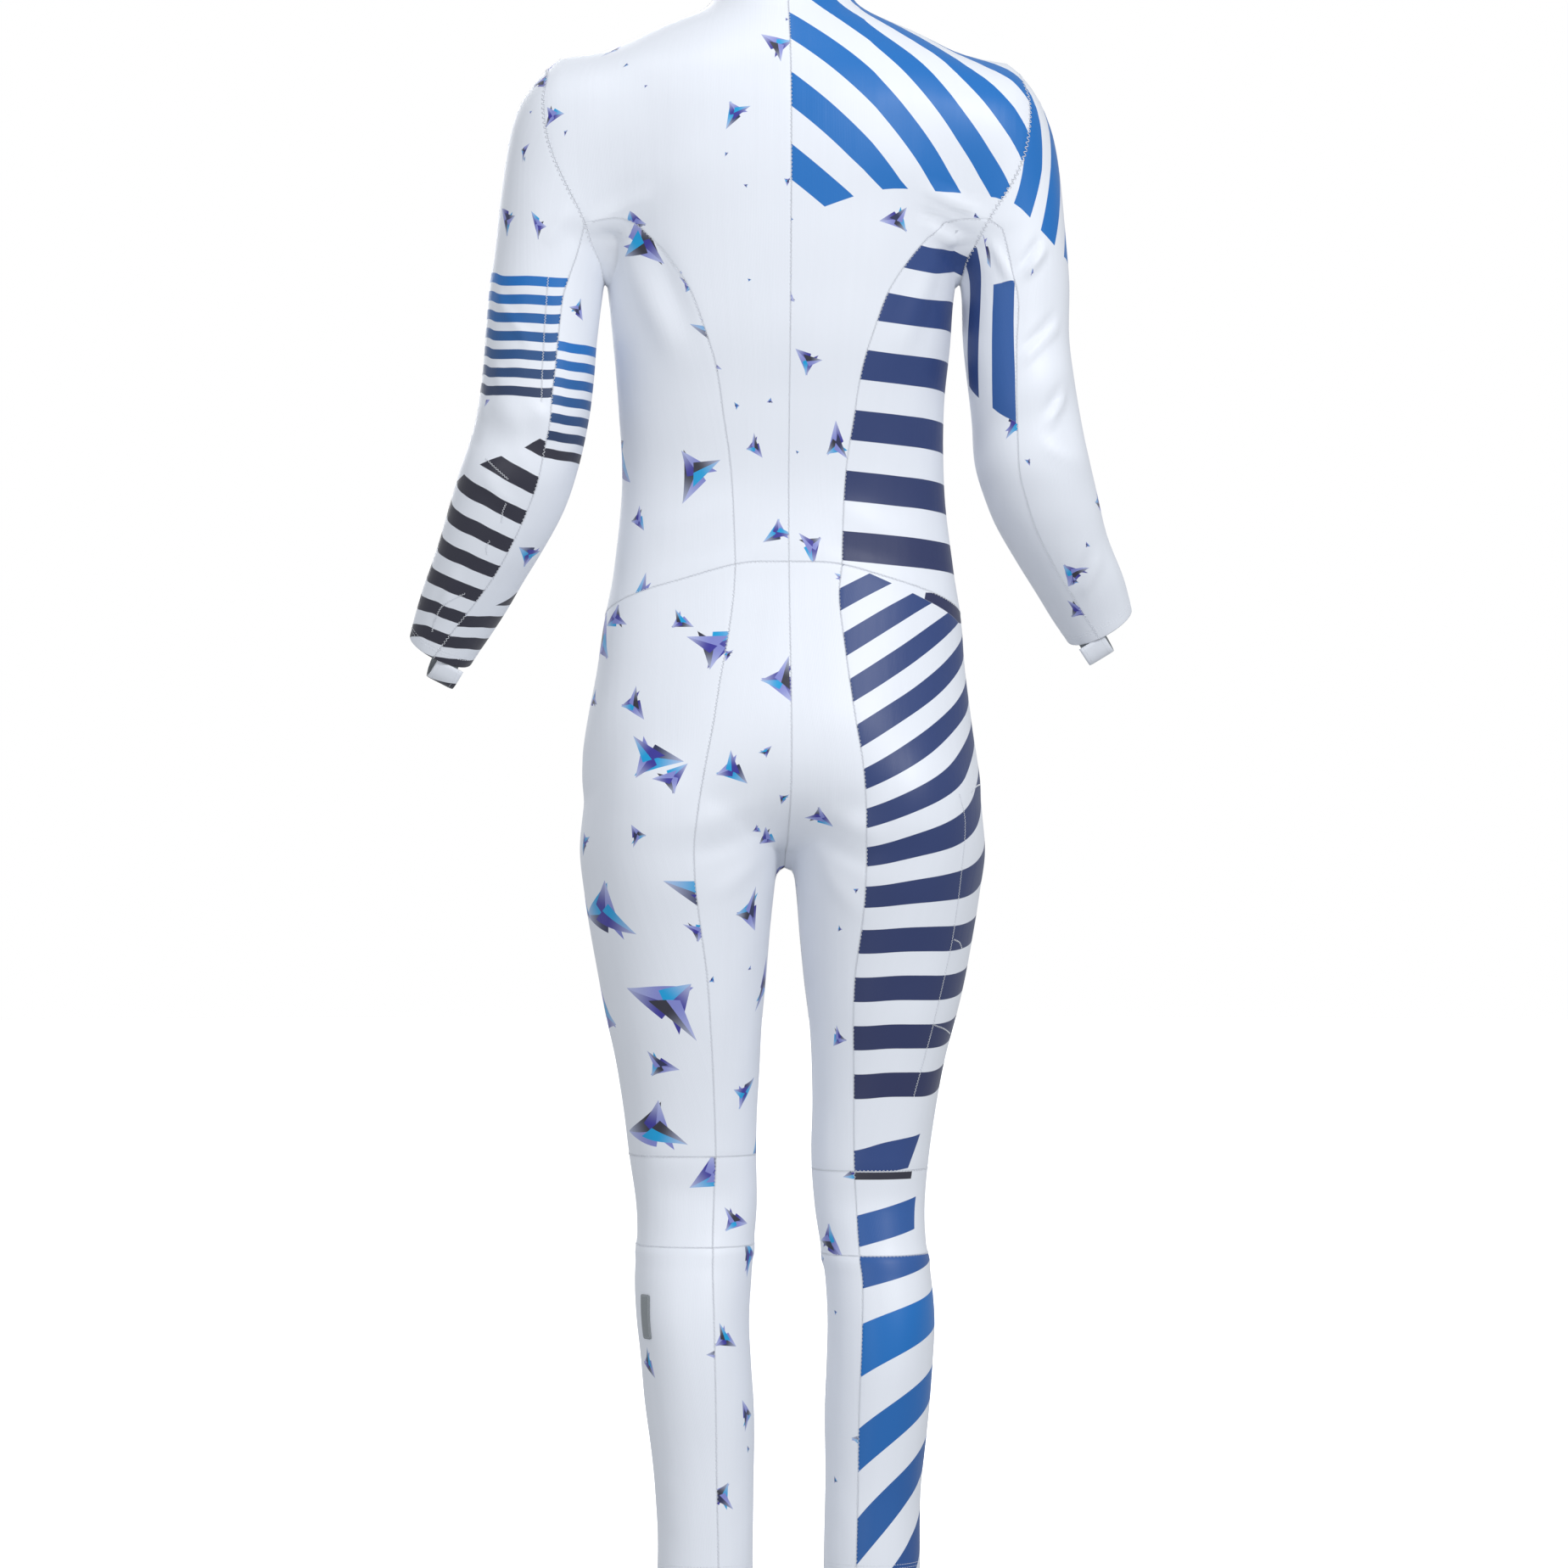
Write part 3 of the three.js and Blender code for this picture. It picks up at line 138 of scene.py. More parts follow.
LEGS = {
    Side.LEFT: Table(
        (-600, 72, 4, 70, 66, 74, 2), (-640, 79, 5, 80, 78, 92, 2.1), (-680, 85, 6, 86, 86, 102, 2.1),
        (-715, 89, 6, 87, 86, 102, 2.1), (-745, 92, 6, 86, 85, 96, 2.1),
        (-778, 92, 6, 82.5, 83, 90, 2.1), (-815, 91, 4, 77.8, 80, 84, 2.1),
        (-852, 89.3, 2, 73, 77, 78, 2.1), (-889, 87.1, 1, 67.8, 73, 72, 2.1),
        (-926, 84.1, 0, 62.6, 69, 65, 2.1), (-963, 82.3, 0, 58.5, 65, 58, 2.1),
        (-1007, 80, 1, 55.5, 62, 52, 2.1), (-1052, 76.7, 4, 52.4, 59, 48, 2.1),
        (-1085, 77.8, 8, 50.6, 56, 51, 2.1), (-1112, 80, 12, 50.2, 53, 55, 2.1),
        (-1149, 80.8, 16, 48.4, 49, 58, 2.1), (-1186, 78, 19, 47.4, 46, 57, 2.05),
        (-1223, 75.2, 21, 46.8, 44, 53, 2), (-1260, 72.8, 23, 45, 42, 48, 2),
        (-1297, 71, 25, 42.8, 41, 44, 2), (-1334, 70, 26, 41.4, 41, 42, 2),
        (-1380, 70.5, 27, 41.8, 42, 42, 2),
    ),
    Side.RIGHT: Table(
        (-600, -70, 4, 68, 66, 74, 2), (-640, -77, 5, 78, 78, 92, 2.1),
        (-680, -83, 6, 85, 86, 102, 2.1), (-715, -88, 6, 85, 86, 102, 2.1),
        (-745, -91, 6, 84, 85, 96, 2.1), (-778, -90.4, 6, 79.6, 83, 90, 2.1),
        (-815, -89, 4, 75.4, 80, 84, 2.1), (-852, -88, 2, 70.2, 77, 78, 2.1),
        (-889, -86, 1, 64, 73, 72, 2.1), (-926, -82.6, 0, 58.4, 69, 65, 2.1),
        (-963, -79.5, 0, 54.2, 65, 58, 2.1), (-1007, -75.6, 1, 51.6, 61, 52, 2.1),
        (-1052, -74.8, 4, 47.8, 57, 48, 2.1), (-1085, -77.6, 8, 45.8, 54, 50, 2.1),
        (-1112, -81.5, 12, 45.8, 51, 54, 2.1), (-1149, -83.6, 16, 46, 48, 57, 2.1),
        (-1186, -82.2, 19, 45.9, 46, 56, 2.05), (-1223, -80.3, 21, 45.2, 44, 52, 2),
        (-1260, -78.3, 23, 43.2, 42, 47, 2), (-1297, -76.1, 25, 41.5, 41, 43, 2),
        (-1334, -75, 26, 41.3, 41, 42, 2), (-1380, -74.8, 27, 42.2, 42, 42, 2),
    ),
}

ARMS = {
    Side.LEFT: Table(
        (-63, 190, 13, 5, 6, 6, 2), (-70, 187, 13, 15, 20, 20, 2), (-82, 185, 13, 29, 36, 36, 2),
        (-97, 186, 13, 42, 47, 47, 2), (-122, 189, 13, 50, 54, 53, 2),
        (-165, 195, 12, 51, 56, 54, 2.05), (-222, 202, 12, 50.5, 54, 52, 2.05),
        (-252, 207.6, 12, 49, 52, 51, 2.05), (-296, 212.3, 13, 48.5, 50, 50, 2.05),
        (-333, 215, 14, 48.7, 49, 50, 2.05), (-370, 220, 13, 49.2, 49, 51, 2.05),
        (-408, 230, 9, 51.2, 50, 51, 2.05), (-445, 242, 1, 50.5, 50, 48, 2.05),
        (-482, 257.5, -12, 46.5, 47, 44, 2.05), (-511, 271.5, -26, 42.5, 43, 40, 2.05),
        (-534, 282, -37, 39, 39, 36, 2.05), (-556, 292, -48, 34.8, 35, 32, 2),
        (-582, 304, -61, 30, 31, 28, 2), (-620, 320, -80, 28, 29, 26, 2),
    ),
    Side.RIGHT: Table(
        (-63, -189, 13, 5, 6, 6, 2), (-70, -185, 13, 14, 20, 20, 2), (-82, -183, 13, 27, 36, 36, 2),
        (-97, -183, 13, 39, 47, 47, 2), (-122, -186, 13, 48, 54, 53, 2),
        (-165, -191, 12, 51, 56, 54, 2.05), (-222, -197, 12, 50, 54, 52, 2.05),
        (-252, -201.5, 12, 47.6, 51, 51, 2.05), (-296, -202.7, 13, 46.4, 49, 50, 2.05),
        (-333, -206.4, 14, 46.6, 48, 50, 2.05), (-370, -211.6, 13, 48, 48, 51, 2.05),
        (-408, -217.8, 9, 50.4, 50, 51, 2.05), (-445, -228.8, 1, 49, 50, 48, 2.05),
        (-474, -241.5, -11, 45.4, 47, 44, 2.05), (-504, -258.5, -26, 42, 42, 39, 2.05),
        (-522, -267.5, -35, 39, 38, 35, 2.05), (-540, -276.5, -44, 35.5, 34, 31, 2),
        (-563, -288, -55, 31, 31, 28, 2), (-600, -300, -74, 28, 29, 26, 2),
    ),
}


# The armhole seam as seen from the back: z and x
ARMHOLE = {
    Side.LEFT: Table(
        (-74, 207), (-94, 211), (-123, 209), (-147, 202), (-171, 191), (-198, 177), (-217, 170),
        (-234, 162), (-250, 158),
    ),
    Side.RIGHT: Table(
        (-74, -206), (-94, -210), (-123, -208), (-147, -202), (-171, -190), (-194, -175),
        (-212, -166), (-230, -157), (-248, -153),
    ),
}


# Sleeve rings from below the armhole to the cuff: z of the middle, slope up and out, how far it bows
# down the arm, pitch down and back, and the angle of the seam behind the arm
SLEEVES = {
    Side.LEFT: Table(
        (-175, 69, 19, 0, 135), (-193, 66, 15, 0, 131), (-214, 63, 11, 0, 125),
        (-237, 59, 8, 0, 119), (-260, 56, 5, 0, 117), (-284, 52, 2, 0, 114), (-309, 47, 0, 0, 111),
        (-335, 42, 0, 0, 108), (-360, 38, 0, 0, 108), (-386, 34, 0, 4, 109), (-412, 31, 0, 9, 110),
        (-438, 28, 0, 14, 109), (-464, 26, 0, 18, 107), (-489, 24, 0, 22, 104),
        (-514, 24, 0, 25, 95), (-540, 26, 0, 26, 82), (-568, 30, 0, 26, 70),
    ),
    Side.RIGHT: Table(
        (-173, 67, 19, 0, 121), (-190, 64, 15, 0, 116), (-210, 62, 11, 0, 111),
        (-232, 59, 8, 0, 106), (-254, 56, 5, 0, 101), (-276, 53, 2, 0, 98), (-300, 49, 0, 0, 99),
        (-324, 45, 0, 0, 102), (-348, 41, 0, 0, 106), (-373, 37, 0, 4, 109), (-398, 35, 0, 9, 111),
        (-422, 32, 0, 14, 110), (-446, 31, 0, 18, 110), (-471, 30, 0, 22, 107),
        (-496, 30, 0, 25, 104), (-520, 32, 0, 26, 98), (-546, 35, 0, 26, 89),
    ),
}


# Seams over the trunk and down the legs: z and the distance from the mid-plane
BACK_PRINCESS = Table(
    (-197, 148), (-203, 133), (-215, 119), (-234, 103), (-260, 86), (-288, 75), (-326, 63),
    (-370, 56), (-402, 51), (-438, 48), (-494, 46),
)

FRONT_PRINCESS = Table(
    (-198, 150), (-206, 136), (-224, 119), (-256, 102), (-310, 88), (-370, 80), (-440, 76),
    (-500, 78), (-560, 82),
)

LEG_SEAM = {
    Side.LEFT: Table(
        (-494, 46), (-522, 48), (-556, 53), (-598, 61), (-634, 67), (-665, 73), (-700, 79),
        (-735, 83), (-770, 82), (-800, 78), (-850, 71), (-900, 67), (-950, 64), (-1010, 62),
        (-1085, 65), (-1160, 64), (-1210, 63), (-1290, 62), (-1380, 60),
    ),
    Side.RIGHT: Table(
        (-494, 46), (-522, 43), (-556, 46), (-598, 51), (-634, 56), (-665, 61), (-700, 64),
        (-735, 65), (-770, 65), (-800, 63), (-850, 57), (-900, 56), (-950, 57), (-1020, 58),
        (-1093, 62), (-1117, 64), (-1160, 63), (-1210, 61), (-1290, 60), (-1380, 58),
    ),
}

# The waist seam: the angle from the middle of the back, and z
WAIST_SEAM = Table(
    (180, -565), (130, -556), (90, -536), (60, -512), (30, -495), (0, -493),
)


# How far two forms melt into each other: at the crotch, and at most and at least elsewhere. It changes
# across the hip from one distance from the mid-plane to another, and down the armpit from one height to
# another, which is lower at the armpit's front and rear edges
CROTCH_BLEND = 12
HIP_BLEND = (28, 10)
HIP_ACROSS = (35, 110)
SHOULDER_BLEND = (64, 6)
ARMPIT_FADE = (-150, -240)
ARMPIT_EDGE_FADE = (-200, -252)
ARMPIT_MIDDLE_Y = 10
ARMPIT_EDGES = (20, 50)
KNEE_SEAMS = {Side.LEFT: (-1007, -1085), Side.RIGHT: (-1020, -1093)}
ARMHOLE_MIDDLE = {Side.LEFT: (165, 10, -161), Side.RIGHT: (-160, 10, -160)}
ARMHOLE_JOIN = {Side.LEFT: 127, Side.RIGHT: 123}
# Where the level rays that find each leg start, over from the mid-plane at the waist, and how far above
# and below the crotch they start from its depth
LEG_AXIS_AT_WAIST = 50
CROTCH_REACH = 60
# How the neckline dips in front: below 1, wider at its lowest point
NECK_SCOOP = 0.8

# The largest creases: two ends, width and rise
CREASES = np.array([
    # left elbow: two bulges of spare cloth and the trough between them
    (262, 60, -352, 196, 52, -376, 20, 2.6),
    (276, 50, -384, 200, 56, -396, 16, -2.4),
    (284, 44, -410, 206, 54, -424, 20, 2.4),
    # right elbow
    (-256, 54, -318, -196, 60, -352, 20, 2.6),
    (-262, 52, -350, -196, 60, -374, 17, -2.4),
    (-276, 44, -398, -204, 56, -414, 20, 2.2),
    # pulls from each underarm across the back, and from the crotch round the thighs
    (150, 88, -196, 92, 104, -150, 20, 2.2),
    (-150, 88, -190, -92, 104, -146, 20, 2.2),
    (20, 62, -742, 96, 92, -772, 20, 2),
    (-20, 62, -742, -94, 92, -770, 20, 2),
    # behind each knee
    (34, 48, -1040, 122, 48, -1036, 15, -2),
    (-34, 48, -1048, -118, 48, -1044, 15, -2),
], float)


@dataclass(frozen=True)
class Cells:
    """How many cells each seam is divided into: those of the solids, made finer."""

    neck_back: int = 3 * FINE
    neck_front: int = 4 * FINE
    shoulder: int = 4 * FINE
    princess: int = 11 * FINE
    armhole_back: int = 6 * FINE
    underarm: int = 8 * FINE
    above_crotch: int = 10 * FINE
    thigh: int = 7 * FINE
    knee: int = 2 * FINE
    calf: int = 8 * FINE
    collar: int = 2 * FINE


CELLS = Cells()
# Lengths below this count as none
TINY = 1e-9


def unit(a: Array) -> Array:
    """The vectors made one long."""
    return a / np.maximum(np.linalg.norm(a, axis=-1, keepdims=True), TINY)


def mix(a: Amount, b: Amount, t: Amount) -> Amount:
    """The value a share t of the way from a to b."""
    return a + (b - a) * t


def share(value: Array, low: float, high: float) -> Array:
    """How far a value has come from low to high, from 0 to 1."""
    return np.clip((value - low) / (high - low), 0, 1)


def evenly(low: Amount, high: Amount, cells: int, ease: float = 1) -> Array:
    """Values from low to high, one more than the cells, closer together at one end if eased."""
    return mix(low, high, (np.arange(cells + 1) / cells) ** ease)


def points(x: Amount, y: Amount, z: Amount) -> Array:
    """Points from their coordinates, which may be single numbers."""
    return np.stack(np.broadcast_arrays(*(np.asarray(v, float) for v in (x, y, z))), -1)


def limb(sections: Table, p: Array) -> Array:
    """Millimetres outside one form of level sections.

    Args:
        sections: its table.
        p: points, one a row.

    Returns:
        The distance of each point, below zero inside.
    """
    _, middle_x, middle_y, side, front, back, square = sections.read(p[:, 2]).T
    over_x, over_y = p[:, 0] - middle_x, p[:, 1] - middle_y
    depth = np.where(over_y > 0, back, front)
    reach = (np.abs(over_x / side) ** square + np.abs(over_y / depth) ** square) ** (1 / square)
    near = reach < TINY
    level = np.hypot(over_x, over_y) * (1 - 1 / np.where(near, 1, reach))
    level = np.where(near, -np.minimum(side, np.minimum(front, back)), level)
    above = np.maximum(p[:, 2] - sections.keys[0], 0)
    below = np.maximum(sections.keys[-1] - p[:, 2], 0)
    return level + above + below


def meld(a: Array, b: Array, width: Amount) -> Array:
    """Two forms in one, melted together over a width."""
    closeness = np.maximum(width - np.abs(a - b), 0) / width
    return np.minimum(a, b) - closeness**2 * width / 4


def skin(p: Array) -> Array:
    """The whole figure's form.

    Args:
        p: points, one a row.

    Returns:
        Millimetres outside it, below zero inside.
    """
    legs = meld(limb(LEGS[Side.LEFT], p), limb(LEGS[Side.RIGHT], p), CROTCH_BLEND)
    hip = mix(*HIP_BLEND, share(np.abs(p[:, 0]), *HIP_ACROSS))
    body = meld(limb(TRUNK, p), legs, hip)
    aside = share(np.abs(p[:, 1] - ARMPIT_MIDDLE_Y), *ARMPIT_EDGES)
    at_edges = share(p[:, 2], *ARMPIT_EDGE_FADE)
    fade = np.minimum(share(p[:, 2], *ARMPIT_FADE), 1 - aside * (1 - at_edges))
    arm = np.empty(len(p))
    on_left = p[:, 0] > 0
    for side, mine in ((Side.LEFT, on_left), (Side.RIGHT, ~on_left)):
        arm[mine] = limb(ARMS[side], p[mine])
    return meld(body, arm, mix(*SHOULDER_BLEND, fade))


def normal(p: Array) -> Array:
    """The direction straight out of the figure.

    Args:
        p: points in any grid shape.

    Returns:
        The directions, one long, in the same shape.
    """
    step = 0.5
    flat = p.reshape(-1, 3)
    lean = [skin(flat + step * axis) - skin(flat - step * axis) for axis in np.eye(3)]
    return unit(np.stack(lean, -1)).reshape(p.shape)


def leave(start: Array, direction: Array, form: Form = skin) -> Array:
    """Where rays from inside a form first leave it.

    Args:
        start: their starts, in any grid shape.
        direction: their directions, one long.
        form: the form.

    Returns:
        The points, in the same shape.

    Raises:
        ValueError: if a ray never leaves.
    """
    stride, furthest, halvings = 3.0, 400.0, 16
    start, direction = np.broadcast_arrays(start, direction)
    shape = start.shape
    start, direction = start.reshape(-1, 3), direction.reshape(-1, 3)
    near, far = np.zeros(len(start)), np.full(len(start), stride)
    going = np.arange(len(start))
    while len(going):
        inside = form(start[going] + direction[going] * far[going, None]) < 0
        going = going[inside]
        near[going] = far[going]
        far[going] += stride
        if len(going) and far[going].max() > furthest:
            raise ValueError("a ray never leaves the figure")
    for _ in range(halvings):
        middle = (near + far) / 2
        inside = form(start + direction * middle[:, None]) < 0
        near, far = np.where(inside, middle, near), np.where(inside, far, middle)
    return (start + direction * ((near + far) / 2)[:, None]).reshape(shape)


def trunk_axis(z: Array) -> Array:
    """The middle of the trunk at a height, as x and y."""
    y = TRUNK.read(z)[..., 2]
    return np.stack([np.zeros_like(y), y], -1)


def back_point(x: Amount, z: Amount, way: float = 1.0) -> Array:
    """The skin of the back at x and a height."""
    start = points(x, trunk_axis(np.asarray(z, float))[..., 1], z)
    return leave(start, np.array([0.0, way, 0.0]))


def front_point(x: Amount, z: Amount) -> Array:
    """The skin of the front at x and a height."""
    return back_point(x, z, -1.0)


@dataclass(frozen=True)
class RoundChart:
    """Gives points of a form an angle, 0 at the back and 90 at the outer side, and a height."""

    axis_at: Callable[[Array], Array]
    sign: float
    form: Form
    turns: bool = True

    def locate(self, p: Array) -> Array:
        """The angle and height of points."""
        axis = self.axis_at(p[..., 2])
        angle = np.degrees(np.arctan2(self.sign * (p[..., 0] - axis[..., 0]), p[..., 1] - axis[..., 1]))
        return np.stack([angle, p[..., 2]], -1)

    def point(self, angle: Amount, z: Amount) -> Array:
        """The skin at an angle and a height.

        Args:
            angle: degrees from the back.
            z: the height.

        Returns:
            The points.
        """
        angle, z = np.broadcast_arrays(np.radians(np.asarray(angle, float)), np.asarray(z, float))
        axis = self.axis_at(z)
        start = points(axis[..., 0], axis[..., 1], z)
        return leave(start, points(self.sign * np.sin(angle), np.cos(angle), 0), self.form)


@dataclass(frozen=True)
class FlatChart:
    """Gives points of the back or the front their x and their height."""

    find: Callable[[Amount, Amount], Array]
    turns: bool = False

    def locate(self, p: Array) -> Array:
        """The x and height of points."""
        return p[..., [0, 2]]

    def point(self, x: Amount, z: Amount) -> Array:
        """The skin at x and a height."""
        return self.find(x, z)


def lowest_on_mid_plane() -> Array:
    """The crotch: the lowest point of the skin on the mid-plane."""
    above, depths = -700, np.arange(-30, 51, 2)
    found = leave(points(0, depths, above), np.array([0.0, 0.0, -1.0]))
    return found[np.argmin(found[:, 2])]


CROTCH = lowest_on_mid_plane()


def waist_z(angle: Amount) -> Array:
    """The height of the waist seam at an angle from the middle of the back."""
    return WAIST_SEAM.read(angle)[..., 1]


def leg_axis(side: Side) -> Callable[[Array], Array]:
    """Where the rays that find a leg start.

    Args:
        side: the leg.

    Returns:
        A function from a height to x and y.
    """

    def axis(z: Array) -> Array:
        """Where the rays start at a height.

        Args:
            z: the height.

        Returns:
            The x and y.
        """
        _, x, y, *_ = np.moveaxis(LEGS[side].read(z), -1, 0)
        high = share(z, CROTCH[2], WAIST_SEAM.rows[-1, 1])
        near_crotch = np.clip(1 - np.abs(z - CROTCH[2]) / CROTCH_REACH, 0, 1)
        leg_x = mix(x, side.sign * LEG_AXIS_AT_WAIST, high)
        return np.stack([leg_x, mix(mix(y, trunk_axis(z)[..., 1], high), CROTCH[1], near_crotch)], -1)

    return axis


def half_skin(sign: float) -> Form:
    """One half of the figure.

    Args:
        sign: which half.

    Returns:
        The form.
    """

    def form(p: Array) -> Array:
        """Millimetres outside."""
        return np.maximum(skin(p), -sign * p[:, 0])

    return form


def armless_skin(side: Side) -> Form:
    """The figure cut off at one armhole.

    Args:
        side: the armhole.

    Returns:
        The form.
    """
    rows = ARMHOLE[side].rows
    (low_z, low_x), (join_z, join_x) = rows[-1], rows[-4]
    outward = unit(np.array([join_z - low_z, -abs(join_x - low_x)]))
    # Below the armhole the cut runs straight down, a little further out, and then ends
    depth, clear = 80, 3

    def form(p: Array) -> Array:
        """Millimetres outside."""
        over, up = side.sign * p[:, 0] - abs(low_x), p[:, 2] - low_z
        below = np.where(up > -depth, over - clear, -1)
        return np.maximum(skin(p), np.where(up > 0, over * outward[0] + up * outward[1], below))

    return form


def neck_z(angle: Array) -> Array:
    """The height of the neckline.

    Args:
        angle: degrees from the middle of the back.

    Returns:
        The heights.
    """
    turn, aside = np.cos(np.radians(angle)), np.sin(np.radians(angle))
    back = mix(NECK_SIDE_Z, NECK_BACK_Z, turn**2)
    front = mix(NECK_SIDE_Z, NECK_FRONT_Z, np.maximum(1 - aside, 0) ** NECK_SCOOP)
    return np.where(turn > 0, back, front)


@dataclass(frozen=True)
class Ring:
    """A tilted ring round an arm: its middle, its three directions and how far it bows down.

    It bows where it is within BOWED degrees of the shoulder side.
    """

    middle: Array
    out: Array
    rear: Array
    down: Array
    bow: float

    BOWED = 135

    @classmethod
    def of(cls, side: Side, row: Array) -> "Ring":
        """The ring of a row of the sleeve table.

        Args:
            side: the arm.
            row: the row: height, slope, bow and pitch first.

        Returns:
            The ring.
        """
        z, slope, bow, pitch = row[:4]
        _, x, y, *_ = ARMS[side].read(z)
        slope, pitch = math.radians(slope), math.radians(pitch)
        return cls(
            np.array([x, y, z]),
            np.array([side.sign * math.cos(slope), 0, math.sin(slope)]),
            np.array([0, math.cos(pitch), -math.sin(pitch)]),
            np.array([side.sign * math.sin(slope), 0, -math.cos(slope)]),
            bow,
        )

    def rays(self, angle: Array) -> tuple[Array, Array]:
        """The rays that find the skin round it.

        Args:
            angle: degrees, 0 at the shoulder side and 90 at the back.

        Returns:
            Their starts and directions.
        """
        angle = np.asarray(angle, float)
        from_top = np.minimum(angle, 360 - angle)
        bowed = self.bow * np.sin(np.radians(from_top * 180 / self.BOWED))
        bowed = np.where(from_top < self.BOWED, bowed, 0)
        turn = np.radians(angle)[..., None]
        start = self.middle + bowed[..., None] * self.down
        return start, unit(np.cos(turn) * self.out + np.sin(turn) * self.rear)

    def point(self, angle: Array) -> Array:
        """The skin at angles round it."""
        return leave(*self.rays(angle))


def armhole_points(side: Side, angle: Array) -> Array:
    """Points of the armhole seam, by their angle seen from the side.

    Args:
        side: the armhole.
        angle: the angles, 0 at the shoulder tip and 90 at the back.

    Returns:
        The points, moved sideways until they are on the seam.
    """
    middle = np.array(ARMHOLE_MIDDLE[side], float)
    turn = np.radians(angle)
    over = np.zeros_like(turn)
    rounds, haste = 12, 0.7
    for _ in range(rounds):
        found = leave(middle, unit(points(over, np.sin(turn), np.cos(turn))))
        reach = np.hypot(found[:, 1] - middle[1], found[:, 2] - middle[2])
        wanted = (ARMHOLE[side].read(found[:, 2])[:, 1] - middle[0]) / reach
        over = mix(over, wanted, haste)
    return found


def sleeve_angles(seam: float) -> Array:
    """Angles of the points round a sleeve ring.

    Args:
        seam: the angle of its back seam; the front seam lies opposite.

    Returns:
        The angles.
    """
    back = evenly(0, seam, CELLS.armhole_back)
    under = evenly(seam, 360 - seam, CELLS.underarm)
    front = evenly(360 - seam, 360, CELLS.armhole_back)
    return np.concatenate([back, under[1:], front[1:]])


def sleeve_rings(side: Side) -> Array:
    """All rings of a sleeve.

    Args:
        side: the arm.

    Returns:
        A grid of points, with one row a ring from the armhole to the cuff.
    """
    table = SLEEVES[side]
    armhole = armhole_points(side, sleeve_angles(ARMHOLE_JOIN[side]))
    keys = np.interp(
        np.arange((len(table.keys) - 1) * FINE + 1) / FINE, np.arange(len(table.keys)), table.keys
    )
    rings = [Ring.of(side, row).point(sleeve_angles(row[4])) for row in table.read(keys)]
    # Between the armhole and the first ring, rays that turn from the one to the other
    first_starts, _ = Ring.of(side, table.rows[0]).rays(sleeve_angles(table.rows[0][4]))
    between = []
    for t in np.arange(1, FINE) / FINE:
        target = mix(armhole, rings[0], t)
        start = mix(np.array(ARMHOLE_MIDDLE[side], float), first_starts, t)
        between.append(leave(start, unit(target - start)))
    return np.array([armhole, *between, *rings])


def spaced_curve(corners: Array, cells: int) -> Array:
    """Points at even distances along a smooth curve.

    Args:
        corners: points that the curve passes.
        cells: how many steps.

    Returns:
        One point more than the steps.
    """
    steps = np.sqrt(np.linalg.norm(np.diff(corners, axis=0), axis=1))
    keys = -np.concatenate([[0], np.cumsum(steps)])
    curve = Table(*np.column_stack([keys, corners]))
    places = 600
    return resampled(curve.read(np.linspace(0, keys[-1], places))[:, 1:], cells)


def lengths_along(path: Array) -> Array:
    """The distance along a path to each of its points."""
    return np.concatenate([[0], np.cumsum(np.linalg.norm(np.diff(path, axis=0), axis=1))])


def resampled(path: Array, cells: int) -> Array:
    """A path's points again at even distances."""
    along = lengths_along(path)
    wanted = np.linspace(0, along[-1], cells + 1)
    return np.stack([np.interp(wanted, along, path[:, k]) for k in range(path.shape[1])], -1)


def princess(
    seam: Table, side: Side, waist: Array, armhole: Array, find: Callable[..., Array]
) -> Array:
    """A princess seam, even in length, from the waist to where it meets the armhole.

    Args:
        seam: its table of half distances.
        side: the side it is on.
        waist: its lower end.
        armhole: its upper end.
        find: back_point or front_point.

    Returns:
        Its points.
    """
    clear = 20
    inner = seam.rows[seam.rows[:, 0] > waist[2] + clear][::-1, [1, 0]]
    corners = np.vstack([[abs(waist[0]), waist[2]], inner, [abs(armhole[0]), armhole[2]]])
    flat = spaced_curve(corners, CELLS.princess)
    found = find(side.sign * flat[:, 0], flat[:, 1])
    found[0], found[-1] = waist, armhole
    return found


def waist_points(x: Amount, on_back: bool) -> Array:
    """Points of the waist seam.

    Args:
        x: their places across.
        on_back: whether they are on the back.

    Returns:
        The points.
    """
    x = np.asarray(x, float)
    z = np.full(x.shape, float(waist_z(0 if on_back else 180)))
    rounds = 6
    for _ in range(rounds):
        found = back_point(x, z, 1.0 if on_back else -1.0)
        axis_y = trunk_axis(z)[..., 1]
        z = waist_z(np.degrees(np.arctan2(np.abs(found[..., 0]), found[..., 1] - axis_y)))
    return found


